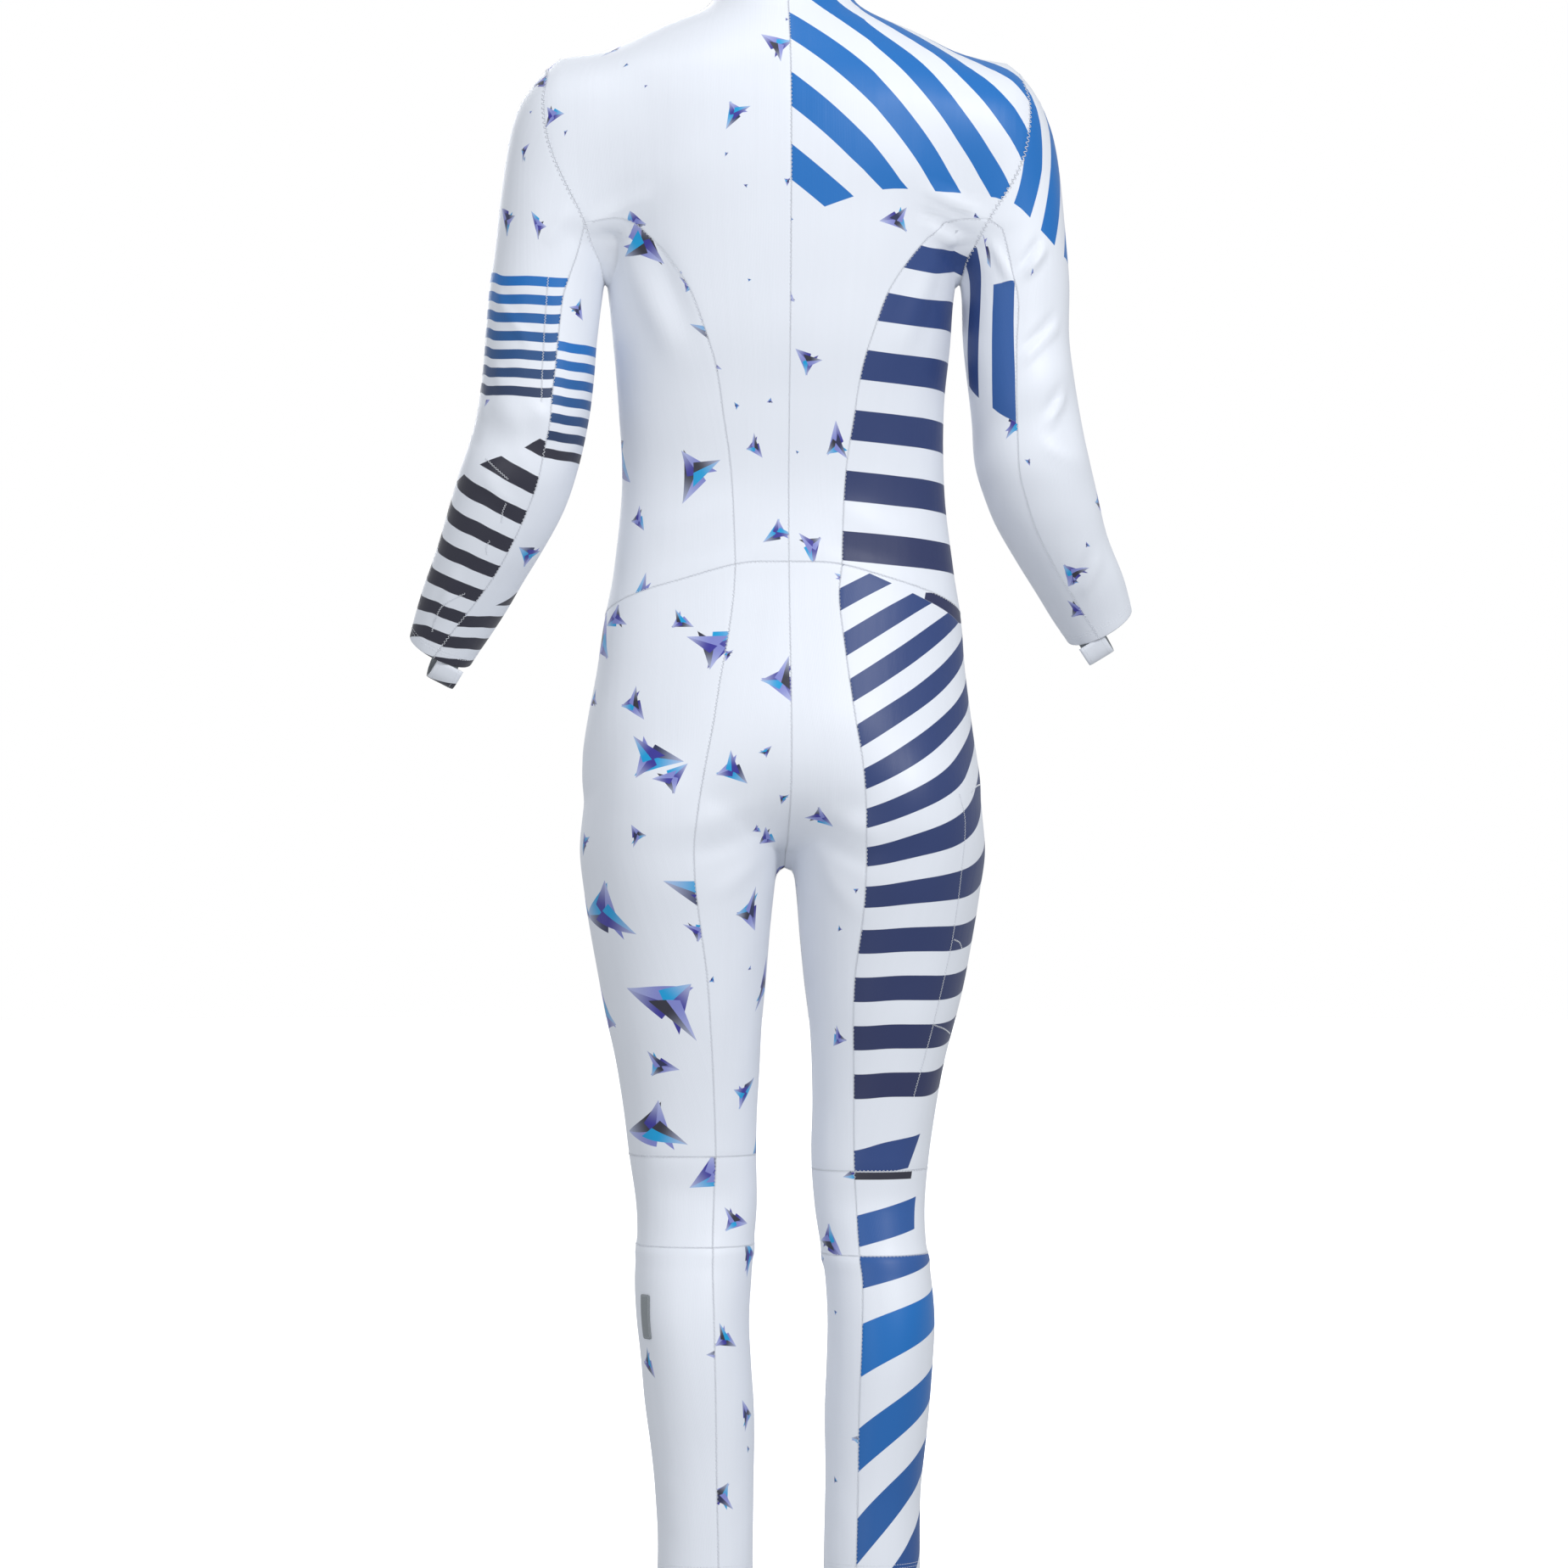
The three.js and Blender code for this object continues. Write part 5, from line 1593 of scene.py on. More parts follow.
@dataclass(frozen=True)
class Scatter:
    """Shards strewn over the cloth, at most one in each square of a grid.

    A shard is three blades of two tones that point different ways and pale towards their tips. The sizes
    are in millimetres; many is the share of squares that hold one. MIDDLE is the least place of a shard
    in its square and how far that varies, SHIFT moves the grid by the seed, and SOFT is the edge. A blade
    has two long sides, set by how slim it is, and a short one with SLANT, a share BEHIND its middle. It
    starts to pale, and would end, at the shares PALING of its length.
    """

    pitch: float
    small: float
    large: float
    many: float
    seed: int

    BLADES = (Blade(0, 1.0, 2.4), Blade(118, 0.72, 2.0), Blade(221, 0.86, 3.2))
    MIDDLE = (0.35, 0.3)
    SHIFT = (7.3, 3.1)
    SOFT = (-0.4, 0.4)
    SLANT = 0.5
    BEHIND = 0.1
    PALING = (0.1, 1.1)
    PALE_MOST = 0.75

    def over(self, shop: Shop, colour: Value, cloth: Value, free: Value | float) -> Value:
        """Prints the shards.

        Args:
            shop: the material's.
            colour: the colour under them.
            cloth: lengths over the cloth.
            free: where the cloth is free of stripes.

        Returns:
            The colour with the shards on it.
        """
        scaled = shop.vector("SCALE", {0: cloth, "Scale": 1 / (self.pitch * MM)})
        shifted = shop.vector("ADD", {0: scaled, 1: (*(self.seed * by for by in self.SHIFT), 0)})
        rows = shop.apart(shifted).out(1)
        odd = shop.make("Math", {"operation": "FLOOR"}, {0: rows}).out() * 0.5
        shifted = shop.vector("ADD", {0: shifted, 1: shop.joined(odd)})
        square = shop.vector("FLOOR", {0: shifted})
        seeded = shop.vector("ADD", {0: square, 1: (0.5, 0.5, self.seed)})
        chance = shop.make("TexWhiteNoise", {"noise_dimensions": "3D"}, {"Vector": seeded})
        draw = shop.make("SeparateColor", None, {0: chance.out("Color")})
        luck, turn, shade = draw.out(0), draw.out(1), draw.out(2)
        size = chance.out("Value")
        local = shop.vector("SUBTRACT", {0: shifted, 1: square})
        least, spread = self.MIDDLE
        middle = shop.joined(size * spread + least, (shade * 7).fraction() * spread + least)
        centred = shop.vector("SUBTRACT", {0: local, 1: middle})
        by_angle = {"Vector": centred, "Angle": turn * (2 * math.pi)}
        turned = shop.make("VectorRotate", {"rotation_type": "Z_AXIS"}, by_angle).out()
        reach = (size * 5).fraction() * (self.large - self.small) + self.small
        shown = (luck < self.many) * free
        for index, blade in enumerate(self.BLADES):
            angle = math.radians(blade.angle)
            out = shop.dot(turned, (math.cos(angle), math.sin(angle), 0)) * self.pitch
            aside = shop.dot(turned, (-math.sin(angle), math.cos(angle), 0)) * self.pitch
            tip = reach * blade.length
            inside = 1 - (out + abs(aside) * blade.slim - tip).ramp(*self.SOFT)
            inside = inside * (out + aside * self.SLANT + reach * self.BEHIND).ramp(*self.SOFT)
            dye = shop.blend(aside > 0, self._dye(shop, shade, index), self._dye(shop, shade, index + 2))
            dye = shop.blend((out / tip).ramp(*self.PALING) * self.PALE_MOST, dye, Dye.PALE.value)
            colour = shop.blend(inside * shown, colour, dye)
        return colour

    @staticmethod
    def _dye(shop: Shop, shade: Value, step: int) -> Value:
        """One of the shards' colours.

        Args:
            shop: the material's.
            shade: the shard's chance draw.
            step: which of its colours.

        Returns:
            The colour.
        """
        dyes = (Dye.MIDNIGHT, Dye.INDIGO, Dye.CYAN, Dye.LILAC, Dye.INDIGO, Dye.INK, Dye.LILAC, Dye.CYAN)
        tones = 5
        stops = [(k / tones, dyes[(k + step) % len(dyes)].value) for k in range(tones)]
        ramp = shop.make("ValToRGB", {"stops": stops}, {0: shade})
        ramp.node.color_ramp.interpolation = "CONSTANT"
        return ramp.out()


class Shards(Enum):
    """How shards are strewn over a panel: the sizes of its scatter, and of the smaller one between."""

    NONE = ()
    FEW = ((70, 11, 23, 0.55), (37, 2, 6, 0.16))
    MANY = ((74, 13, 26, 0.7), (41, 3, 9, 0.25))
    LARGE = ((108, 27, 44, 0.85), (66, 9, 20, 0.5))

    def seeded(self, seed: int) -> tuple[Scatter, ...]:
        """The scatters of one panel."""
        return tuple(Scatter(*sizes, seed + 40 * k) for k, sizes in enumerate(self.value))


@dataclass(frozen=True)
class Knit:
    """The satin stretch knit with its print.

    STREAKS run up the cloth, as in a stretched knit, drawn out by STREAK_LENGTH, with soft CLOUDS and a
    fine GRAIN, all counted in waves a metre. DULLEST is the white where they are darkest. The heights
    and the pitch of the RIBS are in metres.
    """

    stripes: tuple[Stripes, ...] = ()
    shards: Shards = Shards.NONE
    seed: int = 0

    STREAKS = 150
    STREAK_LENGTH = (1, 0.03, 1)
    STREAK_HEIGHT = 0.00016
    CLOUDS = 9
    DULLEST = 0.93
    GRAIN = 2600
    RIBS = 0.0011
    RIB_HEIGHT = 0.00002
    ROUGH = 0.38
    UNEVEN = 0.1

    def material(self, name: str) -> Material:
        """The finish as a material.

        Args:
            name: its name.

        Returns:
            The material.
        """
        shop = Shop.named(name)
        place = shop.place()
        cloth, across = shop.cloth()
        streaks = shop.noise(cloth, self.STREAKS, 2, self.STREAK_LENGTH)
        cloudy = shop.noise(place, self.CLOUDS, 2)
        shade = streaks * 0.3 + cloudy * 0.7
        colour = shop.blend(shade, darker(Dye.WHITE.value, self.DULLEST), Dye.WHITE.value)
        free: Value | float = 1.0
        for block in self.stripes:
            colour, covered = block.over(shop, colour, cloth)
            free = (1 - covered) * free
        for scatter in self.shards.seeded(self.seed):
            colour = scatter.over(shop, colour, cloth, free)
        ribs = (across * (2 * math.pi / self.RIBS)).sine()
        fine = shop.noise(cloth, self.GRAIN, 1)
        smooth = shop.bump(streaks, self.STREAK_HEIGHT)
        return shop.finish(
            Base_Color=colour,
            Roughness=streaks * self.UNEVEN + cloudy * self.UNEVEN + self.ROUGH,
            Normal=shop.bump(ribs * 0.6 + fine * 0.6, self.RIB_HEIGHT, smooth),
            Sheen_Weight=0.12,
            Sheen_Roughness=0.4,
            Specular_IOR_Level=0.42,
            Coat_Weight=0.06,
            Coat_Roughness=0.35,
        )


@dataclass(frozen=True)
class Plain:
    """A plain woven or moulded finish in one dye: how rough, how metallic, and its weave's size.

    WEAR is waves of wear to the metre, DULLEST the dye where it is most worn, and UNEVEN how far the
    roughness changes with it.
    """

    dye: Colour
    rough: float = 0.7
    metal: float = 0.0
    weave: float = 0.0006
    depth: float = 0.00003
    sheen: float = 0.1
    coat: float = 0.0

    WEAR = 420
    DULLEST = 0.82
    UNEVEN = 0.14

    def material(self, name: str) -> Material:
        """The finish as a material.

        Args:
            name: its name.

        Returns:
            The material.
        """
        shop = Shop.named(name)
        place = shop.place()
        apart = shop.apart(place)
        x, y, z = (apart.out(k) for k in range(3))
        turn = 2 * math.pi / self.weave
        threads = ((x + y) * turn).sine() * ((z + y * 0.4) * turn).sine()
        worn = shop.noise(place, self.WEAR, 3)
        shade = worn * 0.6 + threads * 0.15 + 0.2
        return shop.finish(
            Base_Color=shop.blend(shade, darker(self.dye, self.DULLEST), self.dye),
            Roughness=worn * self.UNEVEN + (self.rough - self.UNEVEN / 2),
            Metallic=self.metal,
            Normal=shop.bump(threads * 0.5 + worn * 0.5, self.depth),
            Sheen_Weight=self.sheen,
            Coat_Weight=self.coat,
        )


class Thread:
    """Stitches: short spindles of thread that lie on the cloth and dip into it at both ends.

    HIGH and LOW are how far a zigzag's and a straight stitch's middle lies over the cloth and DIP how far
    its ends are sunk, as shares of its radius. PART is where a straight stitch starts and ends in its
    step, and BODY where a spindle is thick.
    """

    HIGH = 0.7
    LOW = 0.5
    DIP = 0.8
    PART = (0.08, 0.92)
    BODY = (0.25, 0.75)

    def __init__(self, name: str) -> None:
        """Starts an empty run of stitches, for a piece of that name."""
        self.name = name
        self.runs: list[tuple[Array, Array, Array, Array]] = []

    def zigzag(self, path: Path, width: float, step: float = 1.7, radius: float = 0.24) -> None:
        """A zigzag centred on a path.

        Args:
            path: where it runs.
            width: from side to side.
            step: how far each stitch moves on.
            radius: the thread's.
        """
        path = path.spaced(step)
        across = unit(np.cross(path.out, np.gradient(path.at, axis=0)))
        swing = np.where(np.arange(len(path.at)) % 2, 0.5, -0.5) * width
        at = path.at + across * swing[:, None] + path.out * radius * self.HIGH
        self.runs.append((at[:-1], at[1:], path.out[:-1], np.full((len(at) - 1, 1), radius)))

    def straight(self, path: Path, step: float = 2.8, radius: float = 0.22) -> None:
        """A row of straight stitches on a path.

        Args:
            path: where it runs.
            step: from one stitch to the next.
            radius: the thread's.
        """
        path = path.spaced(step)
        at = path.at + path.out * radius * self.LOW
        start, end = (mix(at[:-1], at[1:], t) for t in self.PART)
        self.runs.append((start, end, path.out[:-1], np.full((len(start), 1), radius)))

    def make(self) -> Object:
        """The stitches as one mesh, each a spindle of ten points.

        Returns:
            The object.
        """
        start, end, out, radius = (np.concatenate(part) for part in zip(*self.runs))
        side = unit(np.cross(end - start, out))
        rings = [start - out * radius * self.DIP]
        for t in self.BODY:
            rings += [mix(start, end, t) + way * radius for way in (side, out, -side, -out)]
        rings.append(end - out * radius * self.DIP)
        verts = np.stack(rings, 1)
        shape: list[tuple[int, ...]] = []
        for k in range(4):
            a, b = 1 + k, 1 + (k + 1) % 4
            shape += [(0, b, a), (a, b, b + 4, a + 4), (9, a + 4, b + 4)]
        faces = [tuple(10 * i + v for v in face) for i in range(len(start)) for face in shape]
        return new_object(self.name, verts, faces)


@dataclass
class Half:
    """One half of the suit: its seams, and its panels once they are cut."""

    side: Side
    creases: Creases
    panels: dict[str, Panel] = field(default_factory=dict)
    leg: RoundChart | None = None

    # How much faster than evenly the rows close up towards the neck and the crotch, and how fast the
    # shape of a seam dies out inside a panel of the trunk
    TO_NECK = 0.72
    TO_CROTCH = 1.6
    BELOW_CROTCH = 1.3
    FADE = 3
    # Stitch widths: along the seams, down the middle of the back, and round the armholes with the step
    # and the thread's radius
    SEAM_STITCH = 2.4
    MIDDLE_STITCH = 2.2
    ARMHOLE_STITCH = (4.2, 2.2, 0.34)
    FROM_ZIP = 2.2

    def _cut(self, part: str, grid: Array, rows_rise: bool, grain: int) -> None:
        """Keeps a panel."""
        self.panels[part] = Panel(f"{part}_{self.side.value}", grid, self.creases, rows_rise, grain)

    def cut(self) -> None:
        """Works out every seam and panel of this half."""
        side, sign = self.side, self.side.sign
        trunk = RoundChart(trunk_axis, sign, armless_skin(side))
        rings = sleeve_rings(side)
        armhole = rings[0]
        join_back, join_front = CELLS.armhole_back, CELLS.armhole_back + CELLS.underarm

        angle = evenly(0, 90, CELLS.neck_back)
        neck_back = trunk.point(angle, neck_z(angle))
        front_edge = math.degrees(math.asin(ZIP_EDGE / TRUNK.read(NECK_FRONT_Z)[4]))
        angle = evenly(90, 180 - front_edge, CELLS.neck_front)
        neck_front = trunk.point(angle, neck_z(angle))
        neck_front[-1] = front_point(sign * ZIP_EDGE, NECK_FRONT_Z)
        ridge = RoundChart(trunk_axis, sign, skin)
        tip_angle, tip_z = ridge.locate(armhole[0])
        t = np.arange(CELLS.shoulder + 1) / CELLS.shoulder
        shoulder = ridge.point(mix(90, tip_angle, t), mix(NECK_SIDE_Z, tip_z, t))
        shoulder[0], shoulder[-1] = neck_back[-1], armhole[0]

        back_corner = waist_points(sign * BACK_PRINCESS.rows[-1, 1], True)
        front_corner = waist_points(sign * FRONT_PRINCESS.rows[-1, 1], False)
        across = evenly(0, back_corner[0], CELLS.neck_back + CELLS.shoulder)
        waist_back = waist_points(across, True)
        angle = evenly(trunk.locate(back_corner)[0], trunk.locate(front_corner)[0], CELLS.underarm)
        waist_side = trunk.point(angle, waist_z(angle))
        waist_side[0], waist_side[-1] = back_corner, front_corner
        across = evenly(front_corner[0], sign * ZIP_EDGE, CELLS.neck_front + CELLS.shoulder)
        waist_front = waist_points(across, False)

        back_princess = princess(BACK_PRINCESS, side, back_corner, armhole[join_back], back_point)
        front_princess = princess(FRONT_PRINCESS, side, front_corner, armhole[join_front], front_point)
        rows = CELLS.princess + CELLS.armhole_back
        centre_back = back_point(0, evenly(waist_back[0, 2], NECK_BACK_Z, rows, self.TO_NECK))
        heights = evenly(waist_front[-1, 2], NECK_FRONT_Z, rows, self.TO_NECK)
        centre_front = front_point(sign * ZIP_EDGE, heights)

        high = np.concatenate([neck_back, shoulder[1:]])
        outer = np.concatenate([back_princess, armhole[:join_back][::-1]])
        grid = net(FlatChart(back_point), waist_back, high, centre_back, outer, level_fade=self.FADE)
        self._cut("back", grid, True, 0)
        under = armhole[join_back : join_front + 1]
        grid = net(trunk, waist_side, under, back_princess, front_princess, upright_fade=self.FADE)
        self._cut("side", grid, True, grid.shape[1] // 2)
        low, high = waist_front[::-1], np.concatenate([neck_front[::-1], shoulder[1:]])
        outer = np.concatenate([front_princess, armhole[join_front + 1 :]])
        grid = net(FlatChart(front_point), low, high, centre_front, outer, level_fade=self.FADE)
        self._cut("front", grid, True, 0)
        self._cut_collar(trunk, np.concatenate([neck_back, neck_front[1:]]))
        self._cut_legs(waist_back, waist_side, waist_front, back_corner)
        outer = np.concatenate([rings[:, join_front:-1], rings[:, : join_back + 1]], 1)
        self._cut("sleeve_outer", outer, False, outer.shape[1] // 2)
        inner = rings[:, join_back : join_front + 1]
        self._cut("sleeve_inner", inner, False, inner.shape[1] // 2)

    def _cut_collar(self, trunk: RoundChart, base: Array) -> None:
        """Half of the stand collar.

        Args:
            trunk: the chart round the trunk.
            base: the seam that it stands on.
        """
        rise = COLLAR_HEIGHT * np.arange(CELLS.collar + 1) / CELLS.collar
        z = base[None, :, 2] + rise[:, None]
        grid = trunk.point(trunk.locate(base)[None, :, 0], z)
        grid[:, 0] = back_point(0, z[:, 0])
        grid[:, -1] = front_point(self.side.sign * ZIP_EDGE, z[:, -1])
        grid[0] = base
        self._cut("collar", grid, True, 0)

    def _cut_legs(
        self, waist_back: Array, waist_side: Array, waist_front: Array, back_corner: Array
    ) -> None:
        """The inner and outer panels of the leg, in three lengths.

        Args:
            waist_back: the waist seam from the middle of the back to the back corner.
            waist_side: from there to the front corner.
            waist_front: from there to the zip.
            back_corner: where the seam behind the leg starts.
        """
        side, sign = self.side, self.side.sign
        axis = leg_axis(side)
        leg = self.leg = RoundChart(axis, sign, half_skin(sign))
        shares = 1 - (1 - np.arange(CELLS.above_crotch + 1) / CELLS.above_crotch) ** self.TO_CROTCH

        def mid_seam(z: Array, direction: float) -> Array:
            """The skin on the mid-plane behind or before the crotch."""
            return leave(points(0, CROTCH[1], z), np.array([0, direction, 0.0]))

        top = waist_front[-1]
        seat, rise = (
            np.vstack([mid_seam(mix(start, CROTCH[2], shares[:-1]), direction), CROTCH])
            for start, direction in ((waist_back[0, 2], 1), (top[2], -1))
        )
        rise[0] = (0, top[1], top[2])

        def seam_at(z: Array) -> Array:
            """The seam behind the leg."""
            x = sign * LEG_SEAM[side].read(z)[..., 1]
            return leave(points(x, axis(z)[..., 1], z), np.array([0, 1.0, 0]))

        high = seam_at(mix(back_corner[2], CROTCH[2], shares))
        high[0] = back_corner
        upper, lower = KNEE_SEAMS[side]
        spans = {
            "thigh": evenly(CROTCH[2], upper, CELLS.thigh, self.BELOW_CROTCH),
            "knee": evenly(upper, lower, CELLS.knee),
            "calf": evenly(lower, HEM_Z, CELLS.calf),
        }
        around = np.concatenate([waist_side, waist_front[1:]])
        around[-1] = rise[0]
        inner_t, outer_t = (evenly(0, 1, len(seam) - 1)[None] for seam in (waist_back, around))
        for span, z in spans.items():
            seam = leg.locate(seam_at(z))[:, 0][:, None]
            inner = leg.point(mix(INSEAM_ANGLE - 360, seam, inner_t), z[:, None])
            outer = leg.point(mix(seam, INSEAM_ANGLE, outer_t), z[:, None])
            if span == "thigh":
                inner[0, 0] = outer[0, -1] = CROTCH
                above_inner = net(leg, waist_back, inner[0], seat, high, self.TO_CROTCH)
                above_outer = net(leg, around, outer[0], high, rise, self.TO_CROTCH)
                inner = np.concatenate([above_inner, inner[1:]])
                outer = np.concatenate([above_outer, outer[1:]])
            self._cut(span + "_inner", inner, False, inner.shape[1] // 2)
            self._cut(span + "_outer", outer, False, outer.shape[1] // 3)

    def sew(self, looks: dict[str, Knit], lining: Material) -> None:
        """Makes the panels' meshes and dresses them.

        Args:
            looks: the finish of each panel, by its node.
            lining: the cloth's plain inner face.
        """
        for panel in self.panels.values():
            obj = wall_object("panel_" + panel.name, panel.outer, panel.inner, panel.chart())
            obj.data.materials.append(looks[panel.name].material("knit_" + panel.name))
            obj.data.materials.append(lining)
            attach(obj, "suit")
            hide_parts(panel.name)
            width, length, area = panel.cut_size()
            log.info("%s: %.0f by %.0f mm flat", obj.name, width / MM, length / MM)

    def stitch(self, white: Thread) -> None:
        """Lays the stitching along this half's seams.

        Args:
            white: the thread that holds the panels together.
        """
        panels = self.panels
        part_way = {
            ("back", "last"): (0, CELLS.princess + 1),
            ("collar", "low"): (CELLS.neck_back, None),
            ("thigh_outer", "last"): (CELLS.above_crotch, None),
        }
        for part, edges in (
            ("back", "high last low"),
            ("side", "last low"),
            ("front", "low"),
            ("collar", "low"),
            ("thigh_inner", "last"),
            ("thigh_outer", "last"),
            ("knee_inner", "last first low high"),
            ("knee_outer", "low high"),
            ("calf_inner", "last first"),
            ("sleeve_outer", "first last"),
        ):
            for edge in edges.split():
                cut = part_way.get((part, edge), (0, None))
                white.zigzag(panels[part].edge(edge).part(*cut), self.SEAM_STITCH)
        # The armholes, where the sleeve is set in, have the widest stitch
        for part in ("sleeve_outer", "sleeve_inner"):
            white.zigzag(panels[part].edge("low"), *self.ARMHOLE_STITCH)
        # Twin rows above each hem and cuff, and one row below the collar's top edge
        for part in ("calf_inner", "calf_outer", "sleeve_outer", "sleeve_inner", "collar"):
            for inside in HEM_ROWS[part.split("_")[0]]:
                white.straight(self._inside(panels[part], inside))
        if self.side is Side.LEFT:
            white.zigzag(panels["back"].edge("first"), self.MIDDLE_STITCH)
            for part, edge in (("thigh_inner", "first"), ("thigh_outer", "last")):
                middle = panels[part].edge(edge).part(0, CELLS.above_crotch)
                white.zigzag(middle, self.SEAM_STITCH)
        white.straight(self._column(panels["front"], self.FROM_ZIP))

    @staticmethod
    def _inside(panel: Panel, distance: float) -> Path:
        """A line beside a panel's last row.

        Args:
            panel: the panel.
            distance: how far inside it.

        Returns:
            The path.
        """
        back = np.linalg.norm(np.diff(panel.skin, axis=0), axis=-1)[::-1].cumsum(0)
        at, out = np.empty_like(panel.skin[0]), np.empty_like(panel.out[0])
        for j in range(panel.skin.shape[1]):
            place = np.interp(distance, np.concatenate([[0], back[:, j]]), np.arange(len(back) + 1))
            k, t = int(place), place - int(place)
            high, low = len(back) - k, max(len(back) - k - 1, 0)
            at[j] = mix(panel.skin[high, j], panel.skin[low, j], t)
            out[j] = mix(panel.out[high, j], panel.out[low, j], t)
        return Path(at, unit(out))

    @staticmethod
    def _column(panel: Panel, distance: float) -> Path:
        """A line so far inside a panel's first column."""
        gap = np.linalg.norm(panel.skin[:, 2] - panel.skin[:, 0], axis=-1, keepdims=True)
        t = np.clip(distance / gap, 0, 1)
        return Path(mix(panel.skin[:, 0], panel.skin[:, 2], t), panel.out[:, 1])


# How far inside each hem its rows of stitches lie
HEM_ROWS = {"calf": (10.0, 13.0), "sleeve": (8.0, 11.0), "collar": (2.5,)}


@dataclass(frozen=True)
class FingerLoop:
    """The strap at a cuff, from the back of the cuff down and up to its front.

    Its edges are rounded off by EDGE. Its lines of stitches lie at the shares STITCHED of its width, each
    with the step and the radius STITCH. CLOTH_LENGTH is how long its cloth is, in metres. BEND, below 1,
    squares its turn, and CROWD, below 1, moves its lines of points towards its edges.
    """

    half: Half
    width: float = 25
    thick: float = 1.4
    drop: float = 25
    back_angle: float = 112
    front_angle: float = 248
    cells: int = 48
    across_cells: int = 10

    EDGE = 0.35
    STITCHED = (0.16, 0.84)
    STITCH = (2.2, 0.18)
    CLOTH_LENGTH = 0.08
    BEND = 0.7
    CROWD = 0.8

    def _frame(self) -> tuple[Array, Array, Array, Array]:
        """How the strap lies.

        Returns:
            The middle of its ends, half the way between them, and the directions down and across.
        """
        ring = Ring.of(self.half.side, SLEEVES[self.half.side].rows[-1])
        down = unit(np.cross(ring.out, ring.rear))
        down *= -np.sign(down[2])
        ends = ring.point(np.array([self.back_angle, self.front_angle]))
        ends = ends + unit(ring.middle - ends) * CLOTH / 2
        middle = ends.mean(0)
        half = ends[0] - middle
        return middle, half, down, unit(np.cross(down, half))

    def _line(self, aside: Array, lift: float) -> tuple[Array, Array]:
        """Lines along the strap.

        Args:
            aside: their distances to one side of its middle.
            lift: how far out of its middle layer they lie.

        Returns:
            Their points and the directions outward.
        """
        middle, half, down, across = self._frame()
        turn = np.linspace(0, math.pi, self.cells + 1)
        over, under = (np.sign(v) * np.abs(v) ** self.BEND for v in (np.cos(turn), np.sin(turn)))
        along = middle + over[:, None] * half + (SEAM_GAP + self.drop * under)[:, None] * down
        out = unit(np.cos(turn)[:, None] * unit(half) + np.sin(turn)[:, None] * down)
        grid = along[:, None] + aside[None, :, None] * across + out[:, None] * lift
        return grid, np.repeat(out[:, None], len(aside), 1)

    def make(self, white: Thread) -> Object:
        """The strap's mesh.

        Args:
            white: the thread that its edges and bar tacks are sewn with.

        Returns:
            The object.
        """
        t = np.linspace(-1, 1, self.across_cells + 1)
        aside = np.sign(t) * np.abs(t) ** self.CROWD * self.width / 2
        sunk = (self.EDGE * np.abs(t) ** 6)[None, :, None]
        outer, out = self._line(aside, self.thick / 2)
        inner, _ = self._line(aside, -self.thick / 2)
        outer, inner = outer - out * sunk, inner + out * sunk
        lengths = np.linspace(0, self.CLOTH_LENGTH, len(outer))
        chart = np.stack(np.broadcast_arrays(aside[None] * MM, lengths[:, None]), -1)
        obj = wall_object("loop_strap_" + self.half.side.value, outer, inner, chart)
        for place in self.STITCHED:
            grid, out = self._line(np.array([(place - 0.5) * self.width]), self.thick / 2)
            white.straight(Path(grid[:, 0], out[:, 0]), *self.STITCH)
        return obj


@dataclass(frozen=True)
class CalfTag:
    """The small plain tag that lies on the left calf, with round corners and a sewn border.

    Its edges are CROWN lower than its middle. The border lies BORDER inside the edge, with the step and
    the radius STITCH.
    """

    leg: RoundChart
    creases: Creases
    width: float = 13
    height: float = 38
    thick: float = 0.8
    middle_z: float = -1145
    angle: float = 52
    radius: float = 50
    corner: float = 2.2
    cells: int = 24

    CROWN = 0.22
    BORDER = 1.3
    STITCH = (1.6, 0.13)

    def _grid(self, inset: float) -> tuple[Array, Array]:
        """The tag's outline filled in.

        Args:
            inset: how far inside its edge.

        Returns:
            The points and their outward directions.
        """
        tall, wide = self.height / 2 - inset, self.width / 2 - inset
        corner = self.corner - inset
        up = np.linspace(1, -1, 3 * self.cells + 1) * tall
        over = np.maximum(np.abs(up) - (tall - corner), 0)
        half = wide - corner + np.sqrt(np.maximum(corner**2 - over**2, 0))
        side = np.linspace(-1, 1, self.cells + 1)[None] * half[:, None]
        turned = self.angle + np.degrees(side / self.radius)
        p = self.leg.point(turned, self.middle_z + np.repeat(up[:, None], self.cells + 1, 1))
        out = normal(p)
        return p + out * self.creases.rise_at(p)[..., None], out

    def make(self, grey: Thread) -> Object:
        """The tag's mesh.

        Args:
            grey: the thread of its border.

        Returns:
            The object.
        """
        p, out = self._grid(0)
        rows, cells = p.shape[:2]
        v = np.abs(np.linspace(-1, 1, rows))[:, None]
        u = np.abs(np.linspace(-1, 1, cells))[None]
        sunk = self.CROWN * np.maximum(v**24, u**10)
        outer = p + out * (SEAM_GAP + self.thick - sunk)[..., None]
        across, up = np.linspace(0, self.width, cells), np.linspace(0, self.height, rows)
        chart = np.stack(np.meshgrid(across, up), -1)
        obj = wall_object("tag_left_calf", outer, p + out * SEAM_GAP, chart * MM)
        q, q_out = self._grid(self.BORDER)
        q = q + q_out * (SEAM_GAP + self.thick)
        for cut in (np.s_[0], np.s_[-1], np.s_[:, 0], np.s_[:, -1]):
            grey.straight(Path(q[cut], q_out[cut]), *self.STITCH)
        return obj


